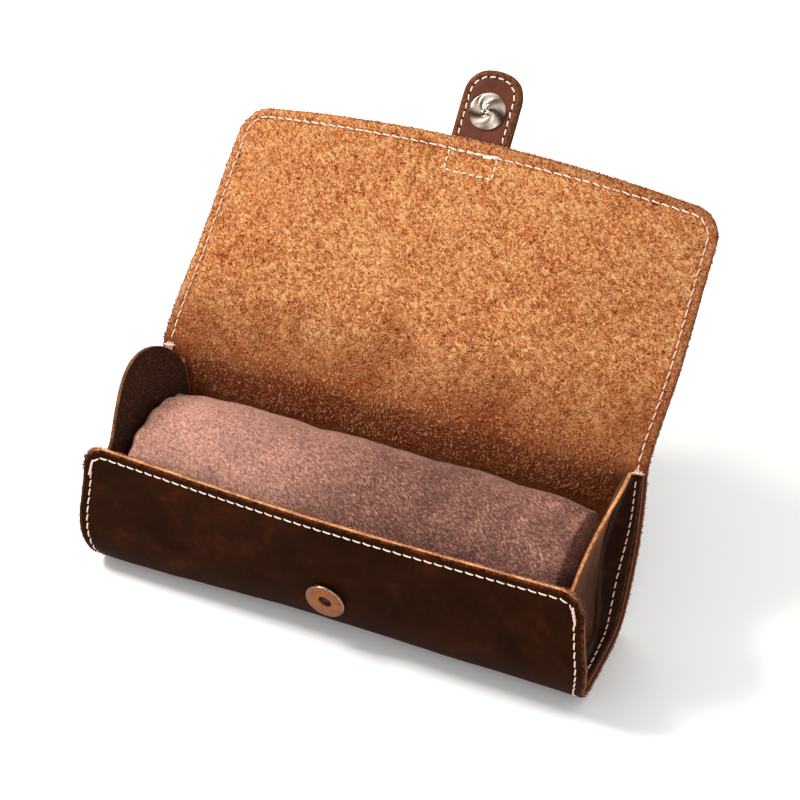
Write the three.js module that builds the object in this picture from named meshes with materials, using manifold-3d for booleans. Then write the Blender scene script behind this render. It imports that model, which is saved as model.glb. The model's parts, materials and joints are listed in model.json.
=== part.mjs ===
// Leather roll case for three watches, open, in millimetres, +Z up.
// One leather wrap makes the front, the bottom, the back and the flap lid. Two end panels with
// turned-out flanges close its ends, and a round cushion that the watches go around lies inside.
// A strap sewn to the lid's free edge closes on the front with a magnetic snap.
// Origin: centre of the underside. +X along the case, -Y to the front.
import * as THREE from 'three';
import { mergeVertices } from 'three/addons/utils/BufferGeometryUtils.js';
import Module from 'manifold-3d';

const wasm = await Module();
wasm.setup();

// Driving dimensions
const CASE_LENGTH = 210;
const LEATHER = 2.2;
const GAP = 0.3;
const FRONT_HEIGHT = 61;
const FRONT_FOOT_Y = -36.4;
const FRONT_LEAN = THREE.MathUtils.degToRad(5);
const FRONT_FOOT_RADIUS = 16;
const BACK_FOOT_Y = 25;
const BACK_FOOT_RADIUS = 9;
const BACK_KNEE = { y: 36.5, z: 30 };
const BACK_KNEE_RADIUS = 26;
const BACK_TOP_Y = 38;
const FOLD_HEIGHT = 69.5;
const CORNER_RADIUS = 10;

// Fineness of the curves
const ARC_STEP = THREE.MathUtils.degToRad(9);
const DISC_SEGMENTS = 40;
const HOLE_SEGMENTS = 32;
const TONGUE_SEGMENTS = 24;
const STRAP_END_SEGMENTS = 20;
const CORNER_SEGMENTS = 8;
const FREE_EDGE_POINTS = 23;

// Lid: rigid strips along the flap, hinged on its inner face
const LID_STRIPS = 7;
const LID_WIDTH = 209;
const STRIP_LENGTH = 14.2;
const LAST_STRIP_SIDE = 18.8;
const LAST_STRIP_MIDDLE = 24.3;
const LID_CORNER_RADIUS = 13;
const OPEN_LEAN = THREE.MathUtils.degToRad(43.5);
const CLOSED_LEANS = [-44, -65, -86, -107, -128, -151, -175].map(THREE.MathUtils.degToRad);
const HINGE_CLEARANCE = 0.4;
const STRIP_BEVEL = 0.2;
const FOLD_BEVEL = 1.4;

// End panels
const PANEL_LEATHER = 2;
const PANEL_OUTER_X = 98;
const FLANGE_END_X = 104;
const FLANGE_FRONT_TOP = 54;
const FLANGE_BACK_TOP = 67.5;
const TONGUE_BASE = 52.5;
const TONGUE_RISE = 31;

// Stitching
const SEAM_INSET = 3.6;
const THREAD_WIDTH = 0.8;
const THREAD_HEIGHT = 0.6;
const THREAD_SINK = 0.1;
const GROOVE_WIDTH = THREAD_WIDTH + 2 * GAP;
const GROOVE_DEPTH = THREAD_SINK + THREAD_HEIGHT + GAP;
const BOX_STITCH = { width: 20.5, depth: 8.5, fromEdge: 5.3 };

// Strap
const STRAP_WIDTH = 24;
const STRAP_LINING = 1.4;
const STRAP_OUTER = 1.6;
const STRAP_THICKNESS = STRAP_LINING + GAP + STRAP_OUTER;
const STRAP_ROOT = 14;
const STRAP_FREE = 30;
const STRAP_HINGE_GAP = 0.6;
const STRAP_SEAM_INSET = 3;

// Magnetic snap
const SNAP_RADIUS = 7.7;
const SNAP_FROM_EDGE = 13;
const SOCKET_PROUD = 1.6;
const SOCKET_BODY_RADIUS = 6;
const SOCKET_INSIDE = 0.7;
const SOCKET_WALL = 0.6;
const SOCKET_RIM = 1.3;
const FACE_RECESS = 0.9;
const METAL_GAP = 0.1;
const METAL_CHAMFER = 0.3;
const SNAP_HOLE_RADIUS = 2.2;
const WASHER_RADIUS = 7.2;
const STUD_CAP = 0.8;
const NUB_RADIUS = 1.6;
const NUB_LENGTH = 1.4;
const RIVET_RADIUS = 1.5;
const STUD_PLATE_RADIUS = 5;
const STUD_PLATE = 0.5;

// Cushion
const CUSHION = { y: 2.2, z: 33.8, depth: 29.5, height: 31, halfLength: 94.5 };
const COVER_CLOTH = 1.2;
const CORE_OUTER_RADIUS = 22;
const CORE_INNER_RADIUS = 19;
const END_DISC = 2;
const CUSHION_SEGMENTS = 44;

const HALF_LENGTH = CASE_LENGTH / 2;
const HALF_LID = LID_WIDTH / 2;
const OVERCUT = 5;

const LOOKS = {
  leather: [0x3a2016, 0.55, 0],
  panel: [0x46281c, 0.6, 0],
  strap: [0x402419, 0.5, 0],
  thread: [0xf0dfcc, 0.8, 0],
  cloth: [0x7a5048, 0.95, 0],
  foam: [0xcfc8b8, 0.95, 0],
  tube: [0x8f8a80, 0.7, 0],
  board: [0x9c7b58, 0.9, 0],
  nickel: [0xb9b2a8, 0.3, 0.9],
  copper: [0xc58a68, 0.35, 0.9],
  magnet: [0x55575a, 0.4, 0.9],
};

const model = new THREE.Group();

// Helpers

function addPart(parent, name, geometry, look) {
  const [color, roughness, metalness] = LOOKS[look];
  const mesh = new THREE.Mesh(geometry, new THREE.MeshStandardMaterial({ color, roughness, metalness }));
  mesh.name = name;
  parent.add(mesh);
  return mesh;
}

function toSolid(geometry) {
  const bare = geometry.clone();
  bare.deleteAttribute('normal');
  bare.deleteAttribute('uv');
  const merged = mergeVertices(bare, 1e-4);
  return new wasm.Manifold(new wasm.Mesh({
    numProp: 3,
    vertProperties: new Float32Array(merged.attributes.position.array),
    triVerts: new Uint32Array(merged.index.array),
  }));
}

function toGeometry(solid) {
  const mesh = solid.getMesh();
  const geometry = new THREE.BufferGeometry();
  geometry.setAttribute('position', new THREE.BufferAttribute(mesh.vertProperties, 3));
  geometry.setIndex(new THREE.BufferAttribute(mesh.triVerts, 1));
  geometry.computeVertexNormals();
  return geometry;
}

function cut(geometry, ...tools) {
  const solid = tools.reduce((rest, tool) => rest.subtract(toSolid(tool)), toSolid(geometry));
  return toGeometry(solid);
}

function join(first, second) {
  return toGeometry(toSolid(first).add(toSolid(second)));
}

function common(first, second) {
  return toGeometry(toSolid(first).intersect(toSolid(second)));
}

function box(x0, x1, y0, y1, z0, z1) {
  const geometry = new THREE.BoxGeometry(x1 - x0, y1 - y0, z1 - z0);
  return geometry.translate((x0 + x1) / 2, (y0 + y1) / 2, (z0 + z1) / 2);
}

// An outline in the (y, z) plane, carried along X.
function alongX(outline, x0, x1, holes = []) {
  const shape = new THREE.Shape(outline);
  shape.holes = holes.map((hole) => new THREE.Path(hole));
  const geometry = new THREE.ExtrudeGeometry(shape, { depth: x1 - x0, bevelEnabled: false });
  const axes = new THREE.Matrix4().makeBasis(
    new THREE.Vector3(0, 1, 0), new THREE.Vector3(0, 0, 1), new THREE.Vector3(1, 0, 0));
  return geometry.applyMatrix4(axes).translate(x0, 0, 0);
}

// An outline in the (x, z) plane, carried along Y.
function alongY(outline, y0, y1) {
  const geometry = new THREE.ExtrudeGeometry(
    new THREE.Shape(outline), { depth: y1 - y0, bevelEnabled: false });
  return geometry.rotateX(Math.PI / 2).translate(0, y1, 0);
}

// A line through corner points, each rounded to its radius.
function roundedLine(corners) {
  const points = [];
  corners.forEach(({ y, z, radius }, i) => {
    const corner = new THREE.Vector2(y, z);
    if (!radius) {
      points.push(corner);
      return;
    }
    const toBefore = new THREE.Vector2(corners[i - 1].y, corners[i - 1].z).sub(corner).normalize();
    const toAfter = new THREE.Vector2(corners[i + 1].y, corners[i + 1].z).sub(corner).normalize();
    const halfAngle = Math.acos(toBefore.dot(toAfter)) / 2;
    const centre = toBefore.clone().add(toAfter).normalize()
      .multiplyScalar(radius / Math.sin(halfAngle)).add(corner);
    const start = toBefore.clone().multiplyScalar(radius / Math.tan(halfAngle)).add(corner).sub(centre);
    const end = toAfter.clone().multiplyScalar(radius / Math.tan(halfAngle)).add(corner).sub(centre);
    const turn = Math.atan2(start.cross(end), start.dot(end));
    const steps = Math.max(1, Math.ceil(Math.abs(turn) / ARC_STEP));
    for (let k = 0; k <= steps; k += 1) {
      points.push(start.clone().rotateAround(new THREE.Vector2(), (turn * k) / steps).add(centre));
    }
  });
  return points;
}

// The line moved sideways, to its left as it runs.
function offsetLine(points, distance) {
  return points.map((point, i) => {
    const before = points[Math.max(i - 1, 0)];
    const after = points[Math.min(i + 1, points.length - 1)];
    const into = point.clone().sub(before).normalize();
    const out = after.clone().sub(point).normalize();
    const along = into.clone().add(out).normalize();
    const reach = along.dot(i === 0 ? out : into);
    return new THREE.Vector2(-along.y, along.x).multiplyScalar(distance / reach).add(point);
  });
}

// The band between two offsets of a line. The outer face's end can stop short.
function band(points, outside, inside, endBevel = 0) {
  const outer = offsetLine(points, outside);
  const inner = offsetLine(points, inside);
  const last = outer.length - 1;
  const back = outer[last - 1].clone().sub(outer[last]).normalize().multiplyScalar(endBevel);
  outer[last].add(back);
  return [...outer, ...inner.reverse()];
}

// The part of a line below the given heights at its two ends.
function trimmed(points, frontTop, backTop) {
  const reach = (from, to, z) => from.clone().lerp(to, (z - from.y) / (to.y - from.y));
  const inside = points.slice(1, -1);
  const front = reach(points[1], points[0], frontTop);
  const back = reach(points[points.length - 2], points[points.length - 1], backTop);
  return [front, ...inside, back];
}

function ellipse(centreY, centreZ, radiusY, radiusZ, segments, from = 0, sweep = 2 * Math.PI) {
  const closed = sweep === 2 * Math.PI;
  const count = closed ? segments : segments + 1;
  return Array.from({ length: count }, (_, k) => {
    const angle = from + (sweep * k) / segments;
    return new THREE.Vector2(centreY + radiusY * Math.cos(angle), centreZ + radiusZ * Math.sin(angle));
  });
}

function turned(profile) {
  return new THREE.LatheGeometry(profile.map(([r, h]) => new THREE.Vector2(r, h)), DISC_SEGMENTS);
}

// Shell: the outer face of the wrap in the (y, z) plane, from the front edge round to the lid's fold

function wrapLine() {
  const frontTopY = FRONT_FOOT_Y + FRONT_HEIGHT * Math.tan(FRONT_LEAN);
  return roundedLine([
    { y: frontTopY, z: FRONT_HEIGHT },
    { y: FRONT_FOOT_Y, z: 0, radius: FRONT_FOOT_RADIUS },
    { y: BACK_FOOT_Y, z: 0, radius: BACK_FOOT_RADIUS },
    { ...BACK_KNEE, radius: BACK_KNEE_RADIUS },
    { y: BACK_TOP_Y, z: FOLD_HEIGHT - HINGE_CLEARANCE },
  ]);
}

function frontCornerCutter(side) {
  const edge = side * HALF_LENGTH;
  const inX = edge - side * CORNER_RADIUS;
  const inZ = FRONT_HEIGHT - CORNER_RADIUS;
  const start = side > 0 ? 0 : Math.PI;
  const arc = ellipse(inX, inZ, CORNER_RADIUS, CORNER_RADIUS, CORNER_SEGMENTS, start, side * Math.PI / 2);
  const far = [
    new THREE.Vector2(inX, FRONT_HEIGHT + OVERCUT),
    new THREE.Vector2(edge + side * OVERCUT, FRONT_HEIGHT + OVERCUT),
    new THREE.Vector2(edge + side * OVERCUT, inZ),
  ];
  return alongY([...arc, ...far], FRONT_FOOT_Y - OVERCUT, 0);
}

function socketPlace() {
  const inner = closedPoint(LID_STRIPS - 1);
  const lean = CLOSED_LEANS[LID_STRIPS - 1];
  const reach = LAST_STRIP_MIDDLE + SNAP_FROM_EDGE;
  const z = inner.z + reach * Math.cos(lean);
  return { y: FRONT_FOOT_Y + z * Math.tan(FRONT_LEAN), z };
}

// Where the hinge line below a lid strip lies when the lid is shut.
function closedPoint(strip) {
  const start = foldLine();
  return CLOSED_LEANS.slice(0, strip).reduce((at, lean) => ({
    y: at.y + STRIP_LENGTH * Math.sin(lean),
    z: at.z + STRIP_LENGTH * Math.cos(lean),
  }), start);
}

function foldLine() {
  return { y: BACK_TOP_Y - LEATHER, z: FOLD_HEIGHT };
}

// Turns a piece whose axis is +Y so that the axis points out of the front wall.
function placeOnFront(mesh) {
  const { y, z } = socketPlace();
  mesh.position.set(0, y, z);
  mesh.rotation.x = Math.PI - FRONT_LEAN;
  return mesh;
}

function socketHoleCutter() {
  const radius = SOCKET_BODY_RADIUS + GAP;
  const { y, z } = socketPlace();
  const tool = new THREE.CylinderGeometry(radius, radius, 2 * OVERCUT, DISC_SEGMENTS);
  return tool.rotateX(Math.PI - FRONT_LEAN).translate(0, y, z);
}

function shellWrap() {
  const line = wrapLine();
  const seamX = HALF_LENGTH - SEAM_INSET;
  const shell = alongX(band(line, 0, LEATHER, FOLD_BEVEL), -HALF_LENGTH, HALF_LENGTH);
  const seamBand = band(line, -OVERCUT, GROOVE_DEPTH);
  const seamCut = (x) => alongX(seamBand, x - GROOVE_WIDTH / 2, x + GROOVE_WIDTH / 2);
  const hemCut = alongX(hemBand(-OVERCUT, GROOVE_DEPTH, GROOVE_WIDTH), -seamX, seamX);
  addPart(model, 'shell_wrap', cut(shell, frontCornerCutter(1), frontCornerCutter(-1),
    seamCut(seamX), seamCut(-seamX), hemCut, socketHoleCutter()), 'leather');
}

// The hem stitching's cross-section, a seam inset below the front edge.
function hemBand(outside, inside, width) {
  const line = wrapLine();
  const down = line[1].clone().sub(line[0]).normalize();
  const middle = down.clone().multiplyScalar(SEAM_INSET).add(line[0]);
  const half = down.clone().multiplyScalar(width / 2);
  return band([middle.clone().sub(half), middle.clone().add(half)], outside, inside);
}

function shellThreads() {
  const seamX = HALF_LENGTH - SEAM_INSET;
  const top = THREAD_SINK;
  const bottom = THREAD_SINK + THREAD_HEIGHT;
  const line = trimmed(wrapLine(), FRONT_HEIGHT - CORNER_RADIUS, FOLD_HEIGHT - SEAM_INSET);
  for (const [side, name] of [[-1, 'left'], [1, 'right']]) {
    const x = side * seamX;
    const thread = alongX(band(line, top, bottom), x - THREAD_WIDTH / 2, x + THREAD_WIDTH / 2);
    addPart(model, `side_seam_thread_${name}`, thread, 'thread');
  }
  const hemEnd = HALF_LENGTH - CORNER_RADIUS;
  addPart(model, 'front_hem_thread', alongX(hemBand(top, bottom, THREAD_WIDTH), -hemEnd, hemEnd), 'thread');
}

// End panels: a web with a round tongue, and a flange turned out along the wrap

function endPanel(side, name) {
  const against = offsetLine(wrapLine(), LEATHER + GAP);
  const webLine = trimmed(against, TONGUE_BASE, TONGUE_BASE);
  const front = webLine[0];
  const back = webLine[webLine.length - 1];
  const tongue = ellipse((front.x + back.x) / 2, TONGUE_BASE, (back.x - front.x) / 2,
    TONGUE_RISE, TONGUE_SEGMENTS, 0, Math.PI).slice(1, -1);
  const flangeLine = trimmed(against, FLANGE_FRONT_TOP, FLANGE_BACK_TOP);
  const webIn = PANEL_OUTER_X - PANEL_LEATHER;
  const span = (a, b) => (side > 0 ? [a, b] : [-b, -a]);
  const web = alongX([...webLine, ...tongue], ...span(webIn, PANEL_OUTER_X));
  const flange = alongX(band(flangeLine, 0, PANEL_LEATHER), ...span(webIn, FLANGE_END_X));
  addPart(model, `end_panel_${name}`, join(web, flange), 'panel');
}

// Cushion

function cushionSection(shrink) {
  return ellipse(CUSHION.y, CUSHION.z, CUSHION.depth - shrink, CUSHION.height - shrink, CUSHION_SEGMENTS);
}

function cushion() {
  const { y, z, halfLength } = CUSHION;
  const circle = (radius) => ellipse(y, z, radius, radius, CUSHION_SEGMENTS);
  const cover = alongX(cushionSection(0), -halfLength, halfLength, [cushionSection(COVER_CLOTH)]);
  addPart(model, 'cushion_cover', cover, 'cloth');
  const fillEnd = halfLength - END_DISC - GAP;
  const fill = cushionSection(COVER_CLOTH + GAP);
  const foam = alongX(fill, -fillEnd, fillEnd, [circle(CORE_OUTER_RADIUS + GAP)]);
  addPart(model, 'cushion_foam', foam, 'foam');
  const core = alongX(circle(CORE_OUTER_RADIUS), -fillEnd, fillEnd, [circle(CORE_INNER_RADIUS)]);
  addPart(model, 'cushion_core_tube', core, 'tube');
  addPart(model, 'cushion_end_disc_left', alongX(fill, -halfLength, -halfLength + END_DISC), 'board');
  addPart(model, 'cushion_end_disc_right', alongX(fill, halfLength - END_DISC, halfLength), 'board');
}

// Magnetic snap socket, in the front wall: heights are out from the leather's outer face

function snapSocket() {
  const floor = -LEATHER - SOCKET_INSIDE;
  const plateSeat = SOCKET_PROUD - FACE_RECESS;
  const bore = SOCKET_BODY_RADIUS - SOCKET_WALL;
  const plateRadius = SNAP_RADIUS - SOCKET_RIM;
  const housing = turned([
    [0, floor], [SOCKET_BODY_RADIUS, floor], [SOCKET_BODY_RADIUS, GAP], [SNAP_RADIUS, GAP],
    [SNAP_RADIUS, SOCKET_PROUD - METAL_CHAMFER], [SNAP_RADIUS - METAL_CHAMFER, SOCKET_PROUD],
    [plateRadius + GAP, SOCKET_PROUD], [plateRadius + GAP, plateSeat],
    [bore, plateSeat], [bore, floor + SOCKET_WALL], [0, floor + SOCKET_WALL],
  ]);
  placeOnFront(addPart(model, 'snap_socket_housing', housing, 'nickel'));
  const ring = (inner, outer, low, high) => turned(
    [[inner, low], [outer, low], [outer, high], [inner, high], [inner, low]]);
  const magnetFloor = floor + SOCKET_WALL + GAP;
  const magnet = ring(SNAP_HOLE_RADIUS + METAL_GAP, bore - GAP, magnetFloor, plateSeat - METAL_GAP);
  placeOnFront(addPart(model, 'snap_socket_magnet', magnet, 'magnet'));
  const plate = ring(SNAP_HOLE_RADIUS, plateRadius, plateSeat + GAP, SOCKET_PROUD - METAL_GAP);
  placeOnFront(addPart(model, 'snap_socket_face', plate, 'copper'));
  const washer = ring(SOCKET_BODY_RADIUS + GAP, WASHER_RADIUS, floor, -LEATHER - GAP);
  placeOnFront(addPart(model, 'snap_socket_washer', washer, 'nickel'));
}

// Lid strips. In a strip's own frame +Z runs up the flap and +Y out of its outer face.

function stripOutline(index) {
  const length = index < LID_STRIPS - 1 ? STRIP_LENGTH : LAST_STRIP_MIDDLE + OVERCUT;
  const foot = index === 0 ? FOLD_BEVEL : STRIP_BEVEL;
  const top = length - HINGE_CLEARANCE;
  return [
    new THREE.Vector2(0, HINGE_CLEARANCE), new THREE.Vector2(LEATHER, HINGE_CLEARANCE + foot),
    new THREE.Vector2(LEATHER, top - STRIP_BEVEL), new THREE.Vector2(0, top),
  ];
}

// The last strip's sides, round corners and bowed free edge, moved in by an inset, left to right.
function freeEdgeLine(inset) {
  const half = HALF_LID - inset;
  const radius = LID_CORNER_RADIUS - inset;
  const bow = LAST_STRIP_MIDDLE - LAST_STRIP_SIDE;
  const cornerZ = LAST_STRIP_SIDE - LID_CORNER_RADIUS;
  const cornerX = HALF_LID - LID_CORNER_RADIUS;
  const low = -OVERCUT;
  const corner = (side) => ellipse(side * cornerX, cornerZ, radius, radius, CORNER_SEGMENTS,
    side < 0 ? Math.PI : Math.PI / 2, -Math.PI / 2);
  const edge = Array.from({ length: FREE_EDGE_POINTS }, (_, k) => {
    const x = cornerX * ((2 * (k + 1)) / (FREE_EDGE_POINTS + 1) - 1);
    return new THREE.Vector2(x, LAST_STRIP_SIDE - inset + bow * (1 - (x / cornerX) ** 2));
  });
  return [new THREE.Vector2(-half, low), ...corner(-1), ...edge, ...corner(1), new THREE.Vector2(half, low)];
}

function edgeBand(outside, inside, y0, y1) {
  return alongY([...freeEdgeLine(outside), ...freeEdgeLine(inside).reverse()], y0, y1);
}

function boxStitchRing(width, y0, y1) {
  const halfX = BOX_STITCH.width / 2;
  const grow = width / 2;
  const high = LAST_STRIP_MIDDLE - BOX_STITCH.fromEdge;
  const low = high - BOX_STITCH.depth;
  const outer = box(-halfX - grow, halfX + grow, y0, y1, low - grow, high + grow);
  const inner = box(-halfX + grow, halfX - grow, y0 - OVERCUT, y1 + OVERCUT, low + grow, high - grow);
  return cut(outer, inner);
}

function lidStrip(parent, index) {
  const last = index === LID_STRIPS - 1;
  const seamX = HALF_LID - SEAM_INSET;
  const number = index + 1;
  const slab = alongX(stripOutline(index), -HALF_LID, HALF_LID);
  const threadIn = THREAD_SINK + THREAD_HEIGHT;
  if (last) {
    const outline = alongY(freeEdgeLine(0), -OVERCUT, LEATHER + OVERCUT);
    const grooveOut = SEAM_INSET - GROOVE_WIDTH / 2;
    const groove = edgeBand(grooveOut, grooveOut + GROOVE_WIDTH, -OVERCUT, GROOVE_DEPTH);
    const stitchCut = boxStitchRing(GROOVE_WIDTH, -OVERCUT, GROOVE_DEPTH);
    addPart(parent, `lid_strip_${number}`, cut(common(slab, outline), groove, stitchCut), 'leather');
    const rimOut = SEAM_INSET - THREAD_WIDTH / 2;
    const rim = edgeBand(rimOut, rimOut + THREAD_WIDTH, THREAD_SINK, threadIn);
    const above = box(-HALF_LID, HALF_LID, 0, LEATHER, HINGE_CLEARANCE, LAST_STRIP_MIDDLE);
    addPart(parent, 'lid_edge_thread', common(rim, above), 'thread');
    addPart(parent, 'strap_box_thread', boxStitchRing(THREAD_WIDTH, THREAD_SINK, threadIn), 'thread');
    return;
  }
  const groove = (x) => box(x - GROOVE_WIDTH / 2, x + GROOVE_WIDTH / 2, -OVERCUT, GROOVE_DEPTH,
    -OVERCUT, STRIP_LENGTH + OVERCUT);
  addPart(parent, `lid_strip_${number}`, cut(slab, groove(seamX), groove(-seamX)), 'leather');
  for (const [side, name] of [[-1, 'left'], [1, 'right']]) {
    const x = side * seamX;
    const thread = box(x - THREAD_WIDTH / 2, x + THREAD_WIDTH / 2, THREAD_SINK, threadIn,
      HINGE_CLEARANCE, STRIP_LENGTH - HINGE_CLEARANCE);
    addPart(parent, `lid_thread_${name}_${number}`, thread, 'thread');
  }
}

// Strap. Its root is sewn to the last strip's outer face; its free end turns at the lid's edge.

function strapRoot(parent) {
  const half = STRAP_WIDTH / 2;
  const low = LAST_STRIP_MIDDLE - STRAP_ROOT;
  const liningFace = LEATHER + GAP;
  const outerFace = liningFace + STRAP_LINING + GAP;
  const lining = box(-half, half, liningFace, liningFace + STRAP_LINING, low, LAST_STRIP_MIDDLE);
  const outer = box(-half, half, outerFace, outerFace + STRAP_OUTER, low, LAST_STRIP_MIDDLE);
  addPart(parent, 'strap_root_lining', lining, 'strap');
  addPart(parent, 'strap_root_outer', outer, 'strap');
}

function strapLine(inset) {
  const radius = STRAP_WIDTH / 2 - inset;
  const centre = STRAP_FREE - STRAP_WIDTH / 2;
  const round = ellipse(0, centre, radius, radius, STRAP_END_SEGMENTS, Math.PI, -Math.PI);
  return [new THREE.Vector2(-radius, 0), ...round, new THREE.Vector2(radius, 0)];
}

function roundHole(radius, y, height, z) {
  return new THREE.CylinderGeometry(radius, radius, height, HOLE_SEGMENTS).translate(0, y, z);
}

function strap(parent) {
  const pivotY = LEATHER + GAP + STRAP_THICKNESS;
  const group = new THREE.Group();
  group.position.set(0, pivotY, LAST_STRIP_MIDDLE + STRAP_HINGE_GAP / 2);
  parent.add(group);
  const inner = -STRAP_THICKNESS;
  const between = inner + STRAP_LINING;
  const studZ = SNAP_FROM_EDGE - STRAP_HINGE_GAP / 2;
  const clear = box(-STRAP_WIDTH, STRAP_WIDTH, -OVERCUT, OVERCUT, STRAP_HINGE_GAP / 2, STRAP_FREE + OVERCUT);
  const ring = (width, y0, y1) => common(clear, alongY([
    ...strapLine(STRAP_SEAM_INSET - width / 2), ...strapLine(STRAP_SEAM_INSET + width / 2).reverse(),
  ], y0, y1));
  const lining = common(clear, alongY(strapLine(0), inner, between));
  const rivetHole = roundHole(RIVET_RADIUS + GAP, inner, 2 * OVERCUT, studZ);
  const groove = ring(GROOVE_WIDTH, inner - OVERCUT, inner + GROOVE_DEPTH);
  addPart(group, 'strap_lining', cut(lining, rivetHole, groove), 'strap');
  const outer = common(clear, alongY(strapLine(0), between + GAP, 0));
  const pocket = roundHole(STUD_PLATE_RADIUS + GAP, between + GAP, 2 * (STUD_PLATE + GAP), studZ);
  addPart(group, 'strap_outer', cut(outer, pocket), 'strap');
  const thread = ring(THREAD_WIDTH, inner + THREAD_SINK, inner + THREAD_SINK + THREAD_HEIGHT);
  addPart(group, 'strap_thread', thread, 'thread');
  snapStud(group, inner, studZ);
}

// Heights run in through the lining from its face, so the nub's tip is at the most negative.
function snapStud(group, face, z) {
  const under = -GAP;
  const cap = under - STUD_CAP;
  const rivetEnd = STRAP_LINING + GAP;
  const stud = turned([
    [0, cap - NUB_LENGTH], [NUB_RADIUS, cap - NUB_LENGTH + METAL_CHAMFER], [NUB_RADIUS, cap],
    [SNAP_RADIUS - METAL_CHAMFER, cap], [SNAP_RADIUS, cap + METAL_CHAMFER], [SNAP_RADIUS, under],
    [RIVET_RADIUS, under], [RIVET_RADIUS, rivetEnd], [0, rivetEnd],
  ]);
  addPart(group, 'snap_stud', stud, 'nickel').position.set(0, face, z);
  const plateHole = RIVET_RADIUS + GAP;
  const plateTop = STUD_PLATE - METAL_GAP;
  const plate = turned([
    [plateHole, 0], [STUD_PLATE_RADIUS, 0],
    [STUD_PLATE_RADIUS, plateTop], [plateHole, plateTop], [plateHole, 0],
  ]);
  addPart(group, 'snap_stud_plate', plate, 'nickel').position.set(0, face + STRAP_LINING + GAP, z);
}

function lid() {
  let parent = model;
  for (let index = 0; index < LID_STRIPS; index += 1) {
    const group = new THREE.Group();
    if (index === 0) {
      const { y, z } = foldLine();
      group.position.set(0, y, z);
      group.rotation.x = -OPEN_LEAN;
    } else {
      group.position.set(0, 0, STRIP_LENGTH);
    }
    parent.add(group);
    lidStrip(group, index);
    parent = group;
  }
  strapRoot(parent);
  strap(parent);
}

shellWrap();
shellThreads();
endPanel(-1, 'left');
endPanel(1, 'right');
cushion();
snapSocket();
lid();

export default model;
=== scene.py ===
# Watch roll case, open: one leather wrap with a suede inside, two end panels, a round cushion,
# a flap lid and a strap with a magnetic snap. Shapes are worked out in millimetres.
# The wrap is laid out flat: x runs along the case, s along the wrap from its front edge round the
# bottom and the back to the lid's free edge, t is s less the hinge line's, and h goes in from the
# outer face. Colours are sRGB numbers from 0 to 255.
import math
import bpy
import numpy as np
from mathutils import Matrix, Vector
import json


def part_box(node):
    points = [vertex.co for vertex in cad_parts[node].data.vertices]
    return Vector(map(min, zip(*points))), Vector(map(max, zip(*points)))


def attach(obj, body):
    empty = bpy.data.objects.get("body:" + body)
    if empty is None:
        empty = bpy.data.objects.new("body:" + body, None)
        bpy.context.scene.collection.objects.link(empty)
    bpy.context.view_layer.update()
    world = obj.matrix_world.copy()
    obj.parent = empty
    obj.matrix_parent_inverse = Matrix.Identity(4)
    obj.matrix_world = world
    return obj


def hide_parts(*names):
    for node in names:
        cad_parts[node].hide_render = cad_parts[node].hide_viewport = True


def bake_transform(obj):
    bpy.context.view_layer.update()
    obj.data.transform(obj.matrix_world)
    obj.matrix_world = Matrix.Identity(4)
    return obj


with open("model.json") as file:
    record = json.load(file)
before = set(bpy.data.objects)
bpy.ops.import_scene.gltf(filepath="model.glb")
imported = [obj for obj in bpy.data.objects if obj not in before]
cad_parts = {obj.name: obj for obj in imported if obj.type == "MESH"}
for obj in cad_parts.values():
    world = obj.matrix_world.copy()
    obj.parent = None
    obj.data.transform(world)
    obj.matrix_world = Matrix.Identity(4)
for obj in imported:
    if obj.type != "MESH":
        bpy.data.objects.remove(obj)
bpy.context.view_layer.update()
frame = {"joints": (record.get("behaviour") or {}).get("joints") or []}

SCENE = bpy.context.scene
MM = 0.001
QUARTER = math.pi / 2


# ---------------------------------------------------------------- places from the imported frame

def corners(node):
    """A CAD node's lowest and highest corners, in millimetres."""
    return [np.array(corner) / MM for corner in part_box(node)]


HINGE, HINGE_2 = (np.array(joint["pos_m"][1:]) / MM for name in ("lid_fold", "lid_curl_2")
                  for joint in frame["joints"] if joint["name"] == name)
STRIP = float(np.hypot(*(HINGE_2 - HINGE)))
LID_UP = (HINGE_2 - HINGE) / STRIP
LID_OUT = np.array((LID_UP[1], -LID_UP[0]))
STRIPS = 7
SOCKET_AT, STUD_AT, CUSHION_AT = (
    sum(corners(node)) / 2 for node in ("snap_socket_housing", "snap_stud", "cushion_cover"))
CUSHION_END = corners("cushion_cover")[1][0]
CUSHION_HALF = np.subtract(*corners("cushion_cover")[::-1]) / 2
FLANGE_X = float(corners("end_panel_right")[1][0])

# Sizes of the leather
HALF = 105.0  # half the wrap's width, and half the lid's
HALF_LID = 104.5
LEATHER = 2.2  # thickness of the wrap, and of the end panels
PANEL = 2.0
FRONT_CORNER = 10.0
LID_CORNER = 13.0
LID_SIDE = 104.0  # the lid's length at its sides and in the middle
LID_MIDDLE = 109.5
CORNER_X = HALF_LID - LID_CORNER  # where its round corners' centres are
CORNER_T = LID_SIDE - LID_CORNER
SEAM_IN = 3.6
PITCH = 4.1  # a stitch's length
FOLD_RADIUS = 10.0
FOLD_TURN = math.atan2(LID_UP[0], LID_UP[1])

# Sizes of the strap and the snap
STRAP_HALF = 12.4
STRAP_TIP = LID_MIDDLE + 30.0
STRAP_ROOT = LID_MIDDLE - 14.0
TIP_CENTRE = STRAP_TIP - STRAP_HALF
TIP_POWER = 2.4
STRAP_SEAM_IN = 3.0
STRAP_SHIFT = 0.6  # the strap and the socket are a little right of the middle
SOCKET_SHIFT = 2.4
STUD_R = 7.65
SOCKET_R = 8.1
DENT_R = 9.2  # the leather dips round the socket

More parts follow.
